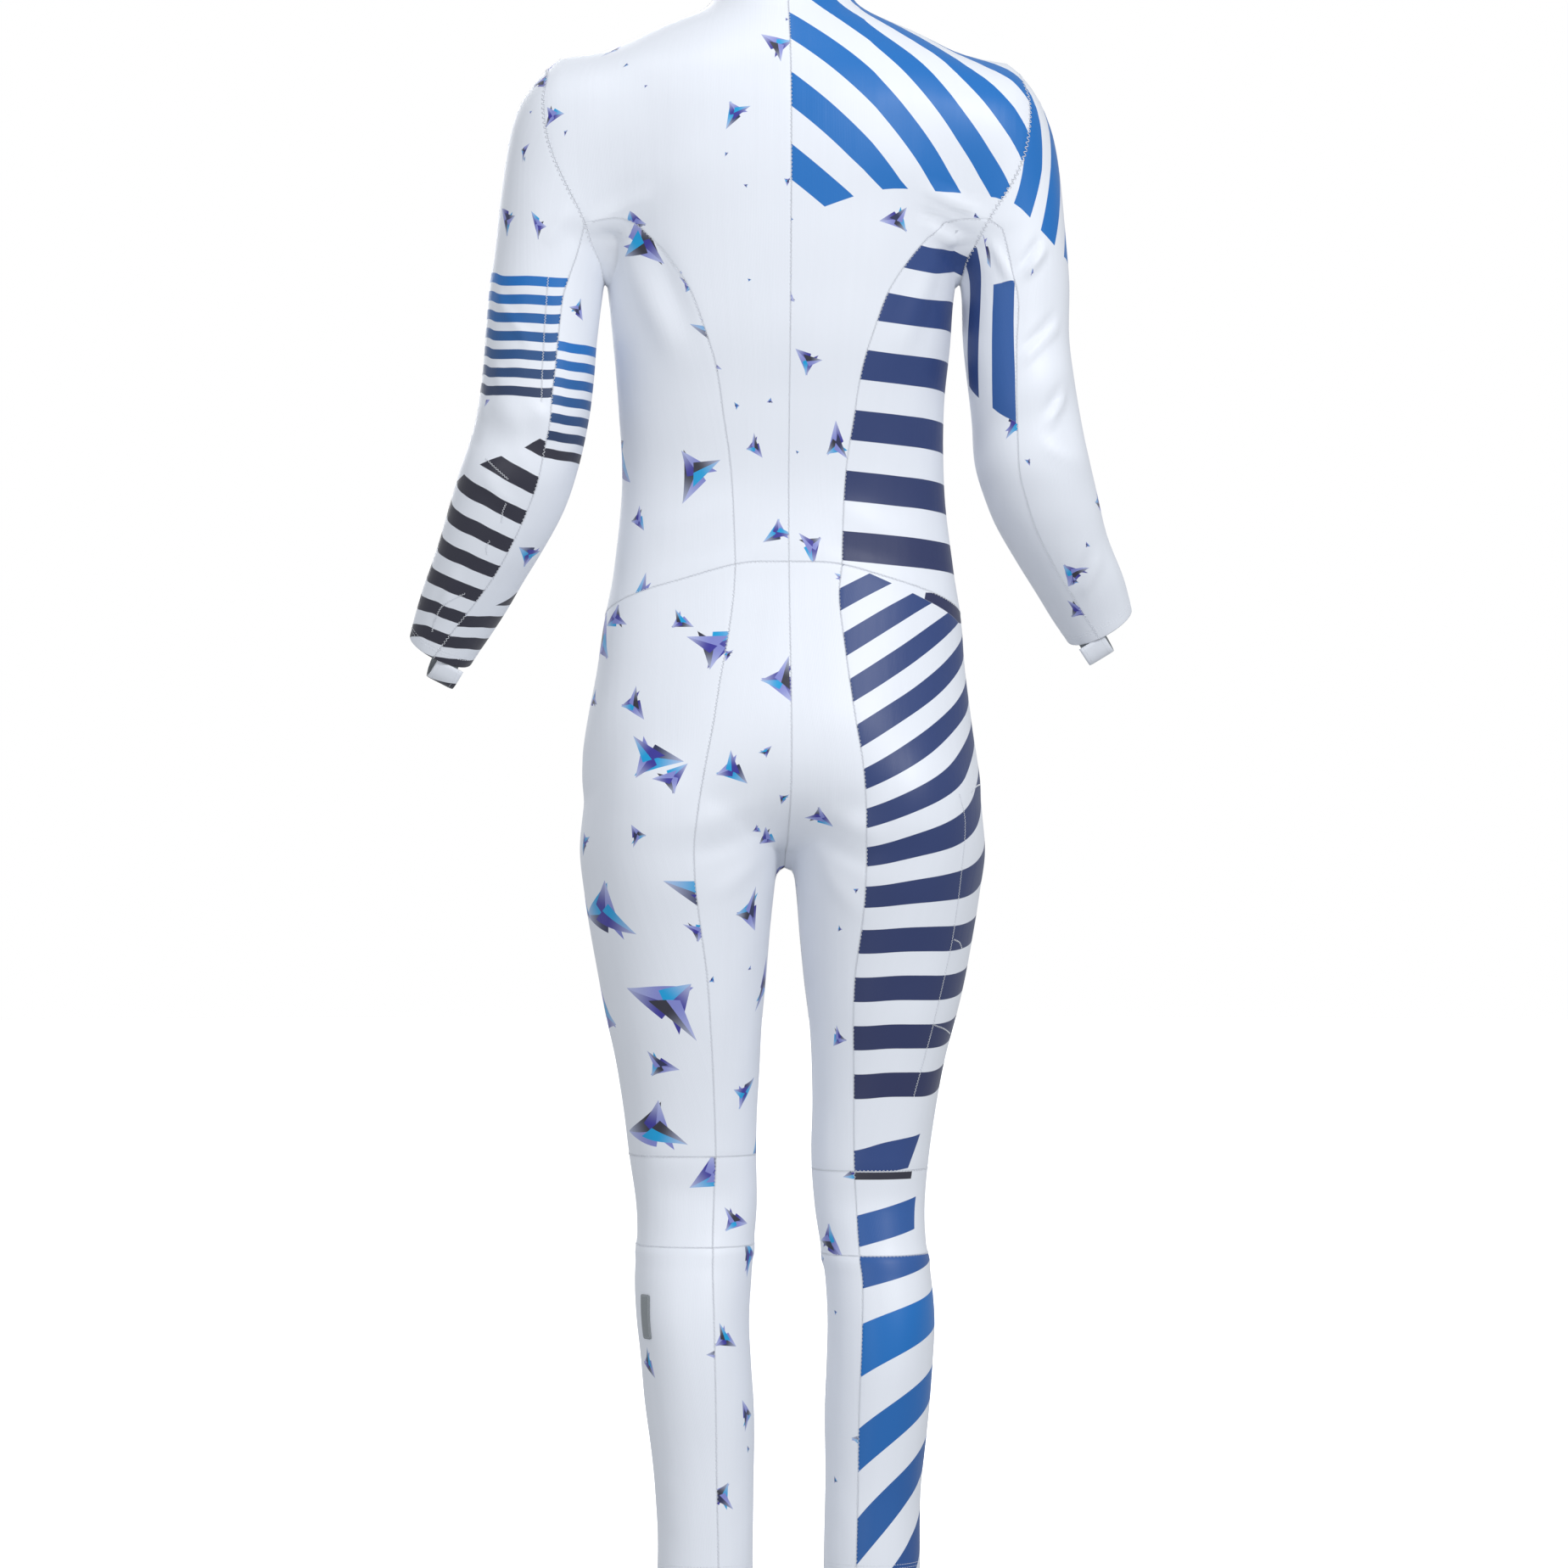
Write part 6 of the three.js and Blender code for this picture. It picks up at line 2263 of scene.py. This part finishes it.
@dataclass(frozen=True)
class Zip:
    """The zip between the front edges: its tape, and its coil of teeth.

    TAPE is a cut across the tape: places as shares of its half width, and heights. A tooth is a rounded
    bar over the middle of the zip, wider at its head. SECTIONS are its cuts from root to head: place,
    half width and height, as shares of its own, and RING goes round a cut: along the zip and up.
    """

    halves: tuple[Half, Half]
    half_width: float = 4
    tooth_pitch: float = 1.5
    tooth_reach: float = 2.1
    tooth_height: float = 0.9
    tooth_share: float = 0.46
    spacing: float = 2

    TAPE = (
        (-1, -0.2), (-0.94, 0), (-0.72, 0.05), (-0.6, 0.2), (-0.5, 0.05), (-0.2, 0),
        (0.2, 0), (0.5, 0.05), (0.6, 0.2), (0.72, 0.05), (0.94, 0), (1, -0.2),
    )
    SECTIONS = ((-1, 0.36, 0.62), (-0.86, 0.5, 0.8), (-0.1, 0.5, 0.86), (0.2, 0.66, 1), (0.42, 0.4, 0.7))
    RING = ((-1, 0), (-0.8, 0.75), (0, 1), (0.8, 0.75), (1, 0))

    def _line(self) -> Path:
        """The middle of the zip, from the waist to the collar's top.

        Returns:
            The path.
        """
        edges = []
        for half in self.halves:
            front, collar = half.panels["front"].edge("first"), half.panels["collar"].edge("last")
            at = np.concatenate([front.at, collar.at[1:]])
            edges.append(Path(at, np.concatenate([front.out, collar.out[1:]])))
        at = (edges[0].at + edges[1].at) / 2
        at[:, 0] = 0
        out = unit(edges[0].out * np.array([0, 1, 1]))
        return Path(at, out).spaced(self.spacing).part(1, None)

    def tape(self) -> Object:
        """The tape's mesh: a wall with a ridge down each side of the coil.

        Returns:
            The object.
        """
        path = self._line()
        x, lift = np.array(self.TAPE).T
        x = x * self.half_width
        outer = path.at[:, None] + path.out[:, None] * lift[None, :, None]
        inner = path.at[:, None] - path.out[:, None] * CLOTH * np.ones_like(x)[None, :, None]
        outer[..., 0] = inner[..., 0] = x
        along = lengths_along(path.at)
        chart = np.stack(np.broadcast_arrays(x[None], along[:, None]), -1) * MM
        return wall_object("zip_tape_woven", outer, inner, chart)

    def teeth(self) -> Object:
        """The coil: a row of rounded teeth from each side, the one between the other.

        Returns:
            The object.
        """
        path = self._line().spaced(self.tooth_pitch / 2)
        run = unit(np.gradient(path.at, axis=0))
        verts, faces = [], []
        size, last = len(self.RING), len(self.SECTIONS) - 1
        for k in range(2, len(path.at) - 2):
            sign = 1 if k % 2 else -1
            base = len(verts)
            for x, half, tall in self.SECTIONS:
                for along, up in self.RING:
                    verts.append(
                        path.at[k]
                        + run[k] * along * half * self.tooth_pitch * self.tooth_share
                        + path.out[k] * up * tall * self.tooth_height
                        + np.array([sign * x * -self.tooth_reach, 0, 0])
                    )
            for i in range(last):
                for j in range(size):
                    a, b = base + i * size + j, base + i * size + (j + 1) % size
                    faces.append((a, b, b + size, a + size)[::sign])
            root, head = (tuple(range(base + i * size, base + (i + 1) * size)) for i in (0, last))
            faces += [root[::-sign], head[::sign]]
        return new_object("zip_teeth", np.array(verts), faces)


# Where sewing that is no seam shows on the back: x and z along each line, in millimetres
SEWN_LINES = {
    "right_thigh_pad": (
        (-146, -693), (-152, -719), (-148, -771), (-141, -823), (-133, -860), (-121, -911), (-109, -956),
    ),
    "right_thigh_arc_high": ((-159, -692), (-165, -687), (-170, -685)),
    "right_thigh_arc_middle": ((-143, -819), (-149, -822), (-152, -828)),
    "right_thigh_arc_low": ((-126, -893), (-136, -897), (-143, -902)),
    "left_upper_arm": ((207, -248), (210, -290), (212, -326), (213, -356)),
    "left_forearm_high": ((260, -404), (252, -412), (241, -422)),
    "left_forearm_middle": ((243, -442), (246, -450), (247, -459)),
    "left_forearm_low": ((257, -474), (260, -480), (259, -486)),
    "left_forearm_edge": ((278, -519), (296, -528), (304, -541), (307, -552)),
}
# The cells of each line, how far it lies over the cloth, and its stitches' width, step and radius
SEWN_CELLS = 40
SEWN_LIFT = 0.1
SEWN_STITCH = (1.9, 1.25, 0.24)

METAL = (0.55, 0.57, 0.6, 1)
DARK_METAL = (0.03, 0.033, 0.04, 1)


@dataclass(frozen=True)
class Suit:
    """The whole suit."""

    creases: Creases
    halves: tuple[Half, Half]

    def build(self) -> None:
        """Makes every piece and dresses it."""
        lining = Plain(Dye.LINING.value, 0.75).material("cloth_inside")
        white = Plain(Dye.THREAD.value, 0.55, weave=0.0004, sheen=0.2).material("thread_white")
        for half in self.halves:
            half.cut()
            half.sew(LOOKS, lining)
        for half in self.halves:
            thread = Thread("stitching_" + half.side.value)
            half.stitch(thread)
            loop = FingerLoop(half).make(thread)
            knit = LOOPS[half.side].material("knit_" + loop.name)
            inside = Plain(Dye.TAG.value, 0.8).material("loop_lining")
            self._place(loop, "white_cloth", (knit, inside), "finger_loop_" + half.side.value)
            self._sewn(thread, half.side)
            self._place(thread.make(), "white_cloth", (white,))
        self._trims()

    @staticmethod
    def _place(obj: Object, slot: str, finishes: Sequence[Material], *nodes: str) -> None:
        """Dresses a piece and rides it on the suit.

        Args:
            obj: the piece.
            slot: not used.
            finishes: its materials.
            nodes: the nodes that it stands for.
        """
        for finish in finishes:
            obj.data.materials.append(finish)
        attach(obj, "suit")
        if nodes:
            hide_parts(*nodes)
        log.info("%s placed", obj.name)

    def _sewn(self, thread: Thread, side: Side) -> None:
        """Lays the sewing that is no seam.

        Args:
            thread: the thread.
            side: the side that it is on.
        """
        for name, corners in SEWN_LINES.items():
            if not name.startswith(side.value):
                continue
            flat = spaced_curve(np.array(corners, float), SEWN_CELLS)
            at = Creases.on_back(flat[:, 0], flat[:, 1])
            out = normal(at)
            at = at + out * (self.creases.rise_at(at) + SEWN_LIFT)[:, None]
            thread.zigzag(Path(at, out), *SEWN_STITCH)

    def _trims(self) -> None:
        """The tag, the zip and the metal pieces."""
        grey = Thread("tag_stitching")
        tag = CalfTag(self.halves[0].leg, self.creases).make(grey)
        woven = Plain(Dye.TAG.value, 0.6, weave=0.0007, depth=0.00006).material("tag_cloth")
        self._place(tag, "tag", (woven, woven), "calf_tag")
        self._place(grey.make(), "tag", (Plain(Dye.TAPE.value, 0.6).material("thread_grey"),))

        zip_ = Zip(self.halves)
        tape, teeth = zip_.tape(), zip_.teeth()
        woven = Plain(Dye.TAPE.value, 0.7, depth=0.00008).material("zip_tape_cloth")
        nylon = Plain(Dye.TEETH.value, 0.35, coat=0.2, sheen=0.0).material("zip_teeth_nylon")
        self._place(tape, "zip_tape", (woven, woven), "zip_tape")
        self._place(teeth, "zip_tape", (nylon,))
        metal = Plain(METAL, 0.32, 1.0, weave=0.002, depth=0.00001, sheen=0.0)
        dark = Plain(DARK_METAL, 0.42, 0.4, weave=0.002, depth=0.00002, sheen=0.0, coat=0.3)
        for node, look in (("zip_slider", metal), ("zip_pull", dark)):
            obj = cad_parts[node]
            obj.data.materials.clear()
            obj.data.materials.append(look.material(node + "_metal"))
            log.info("%s kept", node)


def hoops(
    begin: float, end: float, width: float, pitch: float, first: Dye, last: Dye, edges: Edges = ()
) -> Stripes:
    """Level stripes counted down the cloth."""
    return Stripes((0, -1), begin, end, width, pitch, first, last, edges)


YOKE = Stripes((0.6, 0.8), -195, 310, 24.5, 50.5, Dye.ROYAL, Dye.ROYAL, ((-0.43, 1, -183),))
SHOULDER = Stripes((0.87, 0.49), -192.5, 150, 32, 57, Dye.ROYAL, Dye.ROYAL, ((-0.45, 1, -223),))
FLANK = Stripes((-0.07, -1), 198, 515, 26, 52.5, Dye.NAVY, Dye.MIDNIGHT)
THIGH = (
    Stripes(
        (0, -1), 414, 985, 22, 43.6, Dye.NAVY, Dye.MIDNIGHT, ((-0.397, -1, 525),),
        (-100, -830, 0.05, -640, 0.62),
    ),
    hoops(505, 560, 27, 55, Dye.MIDNIGHT, Dye.MIDNIGHT, ((0.397, 1, -525), (1, 0, -100))),
    Stripes((0.25, -1), 953, 1000, 27, 47, Dye.NAVY, Dye.NAVY, ((-1, 0.3, -260),)),
)
KNEE = (
    hoops(1014, 1034, 6.5, 20, Dye.INK, Dye.INK, ((-1, 0, 32),)),
    Stripes((0.259, -0.966), 990, 1039, 26, 49, Dye.DEEP, Dye.DEEP, ((-1, 0.15, -132),)),
)
CALF = (
    Stripes((0.25, -0.97), 1010, 1063.6, 70, 70, Dye.DEEP, Dye.DEEP),
    Stripes((0, -1), 1115, 1470, 38, 78, Dye.ROYAL, Dye.NAVY, (), (-45, -1360, 1.15, -1080, 0.2)),
)
ELBOW = hoops(248, 360, 8.5, 16, Dye.ROYAL, Dye.INK)
FOREARM = Stripes((-0.42, -1), 317, 610, 14, 29.2, Dye.INK, Dye.INK, ((0.55, -1, 389.5),))
UNDERARM = (
    hoops(303.2, 412.4, 8.3, 15.6, Dye.ROYAL, Dye.INK),
    Stripes((0.25, -1), 516.4, 640, 12.8, 24.3, Dye.INK, Dye.INK, ((0.83, -1, 414.5),)),
)
WEDGES = (
    Stripes((0.977, 0.214), -154, -112.6, 25, 41.4, Dye.DEEP, Dye.DEEP, ((-0.75, 1, -265), (0, -1, 257))),
    Stripes((0.977, 0.214), -112.6, -72, 20, 40.6, Dye.NAVY, Dye.NAVY, ((-0.75, 1, -265),)),
)


LOOKS = {
    "back_left": Knit((), Shards.FEW, 1),
    "back_right": Knit((YOKE,), Shards.FEW, 2),
    "side_left": Knit((), Shards.LARGE, 3),
    "side_right": Knit((FLANK,)),
    "front_left": Knit((), Shards.MANY, 4),
    "front_right": Knit((YOKE,), Shards.MANY, 5),
    "collar_left": Knit(),
    "collar_right": Knit(),
    "thigh_inner_left": Knit((), Shards.MANY, 6),
    "thigh_inner_right": Knit((), Shards.FEW, 7),
    "thigh_outer_left": Knit((), Shards.LARGE, 8),
    "thigh_outer_right": Knit(THIGH),
    "knee_inner_left": Knit((), Shards.MANY, 9),
    "knee_inner_right": Knit((), Shards.FEW, 10),
    "knee_outer_left": Knit((), Shards.LARGE, 11),
    "knee_outer_right": Knit(KNEE),
    "calf_inner_left": Knit((), Shards.MANY, 12),
    "calf_inner_right": Knit((), Shards.FEW, 13),
    "calf_outer_left": Knit((), Shards.MANY, 14),
    "calf_outer_right": Knit(CALF),
    "sleeve_outer_left": Knit((ELBOW, FOREARM), Shards.FEW, 15),
    "sleeve_inner_left": Knit(UNDERARM, Shards.FEW, 16),
    "sleeve_outer_right": Knit((SHOULDER,), Shards.MANY, 17),
    "sleeve_inner_right": Knit(WEDGES, Shards.FEW, 18),
}


LOOPS = {
    Side.LEFT: Knit((Stripes((-0.6, 1), 6.5, 75, 13, 30, Dye.INK, Dye.INK),)),
    Side.RIGHT: Knit(),
}


@dataclass(frozen=True)
class Studio:
    """The pale floor, the soft light and the camera."""

    middle: tuple[float, float, float] = (0.0, 0.0, -0.6847)
    distance: float = 5.0
    azimuth: float = 176.6
    lens: float = 131.4
    floor_z: float = -1.46
    floor_radius: float = 14

    def build(self) -> None:
        """Sets the whole studio up."""
        self._floor()
        self._world()
        for name, place, size, power in (
            ("key", (-1.9, 3.1, 1.1), 0.9, 68.0),
            ("fill", (1.7, 3.3, -0.6), 1.8, 20.0),
            ("top", (0.3, 0.9, 2.6), 1.4, 20.0),
            ("front", (0.9, -3.2, 0.8), 2.0, 46.0),
        ):
            self._light(name, place, size, power)
        self._camera()

    def _floor(self) -> None:
        """A round floor, far wider than the suit."""
        corners = 96
        turn = np.arange(corners) * 2 * math.pi / corners
        rim = points(np.cos(turn), np.sin(turn), 0) * self.floor_radius / MM
        verts = np.vstack([rim, [[0, 0, 0]]]) + [0, 0, self.floor_z / MM]
        faces = [(k, (k + 1) % corners, corners) for k in range(corners)]
        floor = new_object("studio_floor", verts, faces)
        shop = Shop.named("floor_paint")
        grain = shop.noise(shop.place(), 3, 2)
        colour = shop.blend(grain, (0.86, 0.87, 0.89, 1), (0.92, 0.93, 0.94, 1))
        paint = shop.finish(
            Base_Color=colour, Roughness=0.9, Emission_Color=(1, 1, 1, 1), Emission_Strength=0.95
        )
        floor.data.materials.append(paint)
        # The floor is seen, but the suit is lit as if it hung high over it
        floor.visible_diffuse = floor.visible_glossy = False

    def _world(self) -> None:
        """White behind everything, and soft light from all round."""
        world = bpy.data.worlds.new("studio")
        bpy.context.scene.world = world
        shop = Shop(world)
        seen = shop.make("Background", None, {"Color": (1, 1, 1, 1), "Strength": 1.0})
        light = shop.make("Background", None, {"Color": (0.93, 0.96, 1, 1), "Strength": 0.53})
        to_camera = shop.make("LightPath").out("Is Camera Ray")
        both = shop.make("MixShader", None, {0: to_camera, 1: light.out(), 2: seen.out()})
        shop.make("OutputWorld", None, {"Surface": both.out()})

    def _light(self, name: str, place: Sequence[float], size: float, power: float) -> None:
        """A large soft light that faces the suit's middle.

        Args:
            name: its name.
            place: where it is, in metres.
            size: how wide, in metres.
            power: in watts.
        """
        data = bpy.data.lights.new(name, "AREA")
        data.shape = "DISK"
        data.size = size
        data.energy = power
        lamp = bpy.data.objects.new(name, data)
        lamp.location = place
        lamp.rotation_mode = "QUATERNION"
        lamp.rotation_quaternion = (Vector(place) - Vector(self.middle)).to_track_quat("Z", "Y")
        bpy.context.scene.collection.objects.link(lamp)

    def _camera(self) -> None:
        """The camera, where the photograph was taken from."""
        turn = math.radians(self.azimuth)
        back = Vector((math.sin(turn), -math.cos(turn), 0))
        data = bpy.data.cameras.new("camera")
        data.sensor_width = 36
        data.lens = self.lens
        camera = bpy.data.objects.new("camera", data)
        camera.rotation_mode = "QUATERNION"
        camera.location = Vector(self.middle) + back * self.distance
        camera.rotation_quaternion = back.to_track_quat("Z", "Y")
        bpy.context.scene.collection.objects.link(camera)
        bpy.context.scene.camera = camera


def main() -> None:
    """Builds the suit and its studio."""
    logging.basicConfig(level=logging.INFO, format="%(name)s: %(message)s")
    creases = Creases()
    Suit(creases, (Half(Side.LEFT, creases), Half(Side.RIGHT, creases))).build()
    Studio().build()
    bpy.context.scene.view_settings.view_transform = "Standard"


if __name__ == "__main__":
    main()
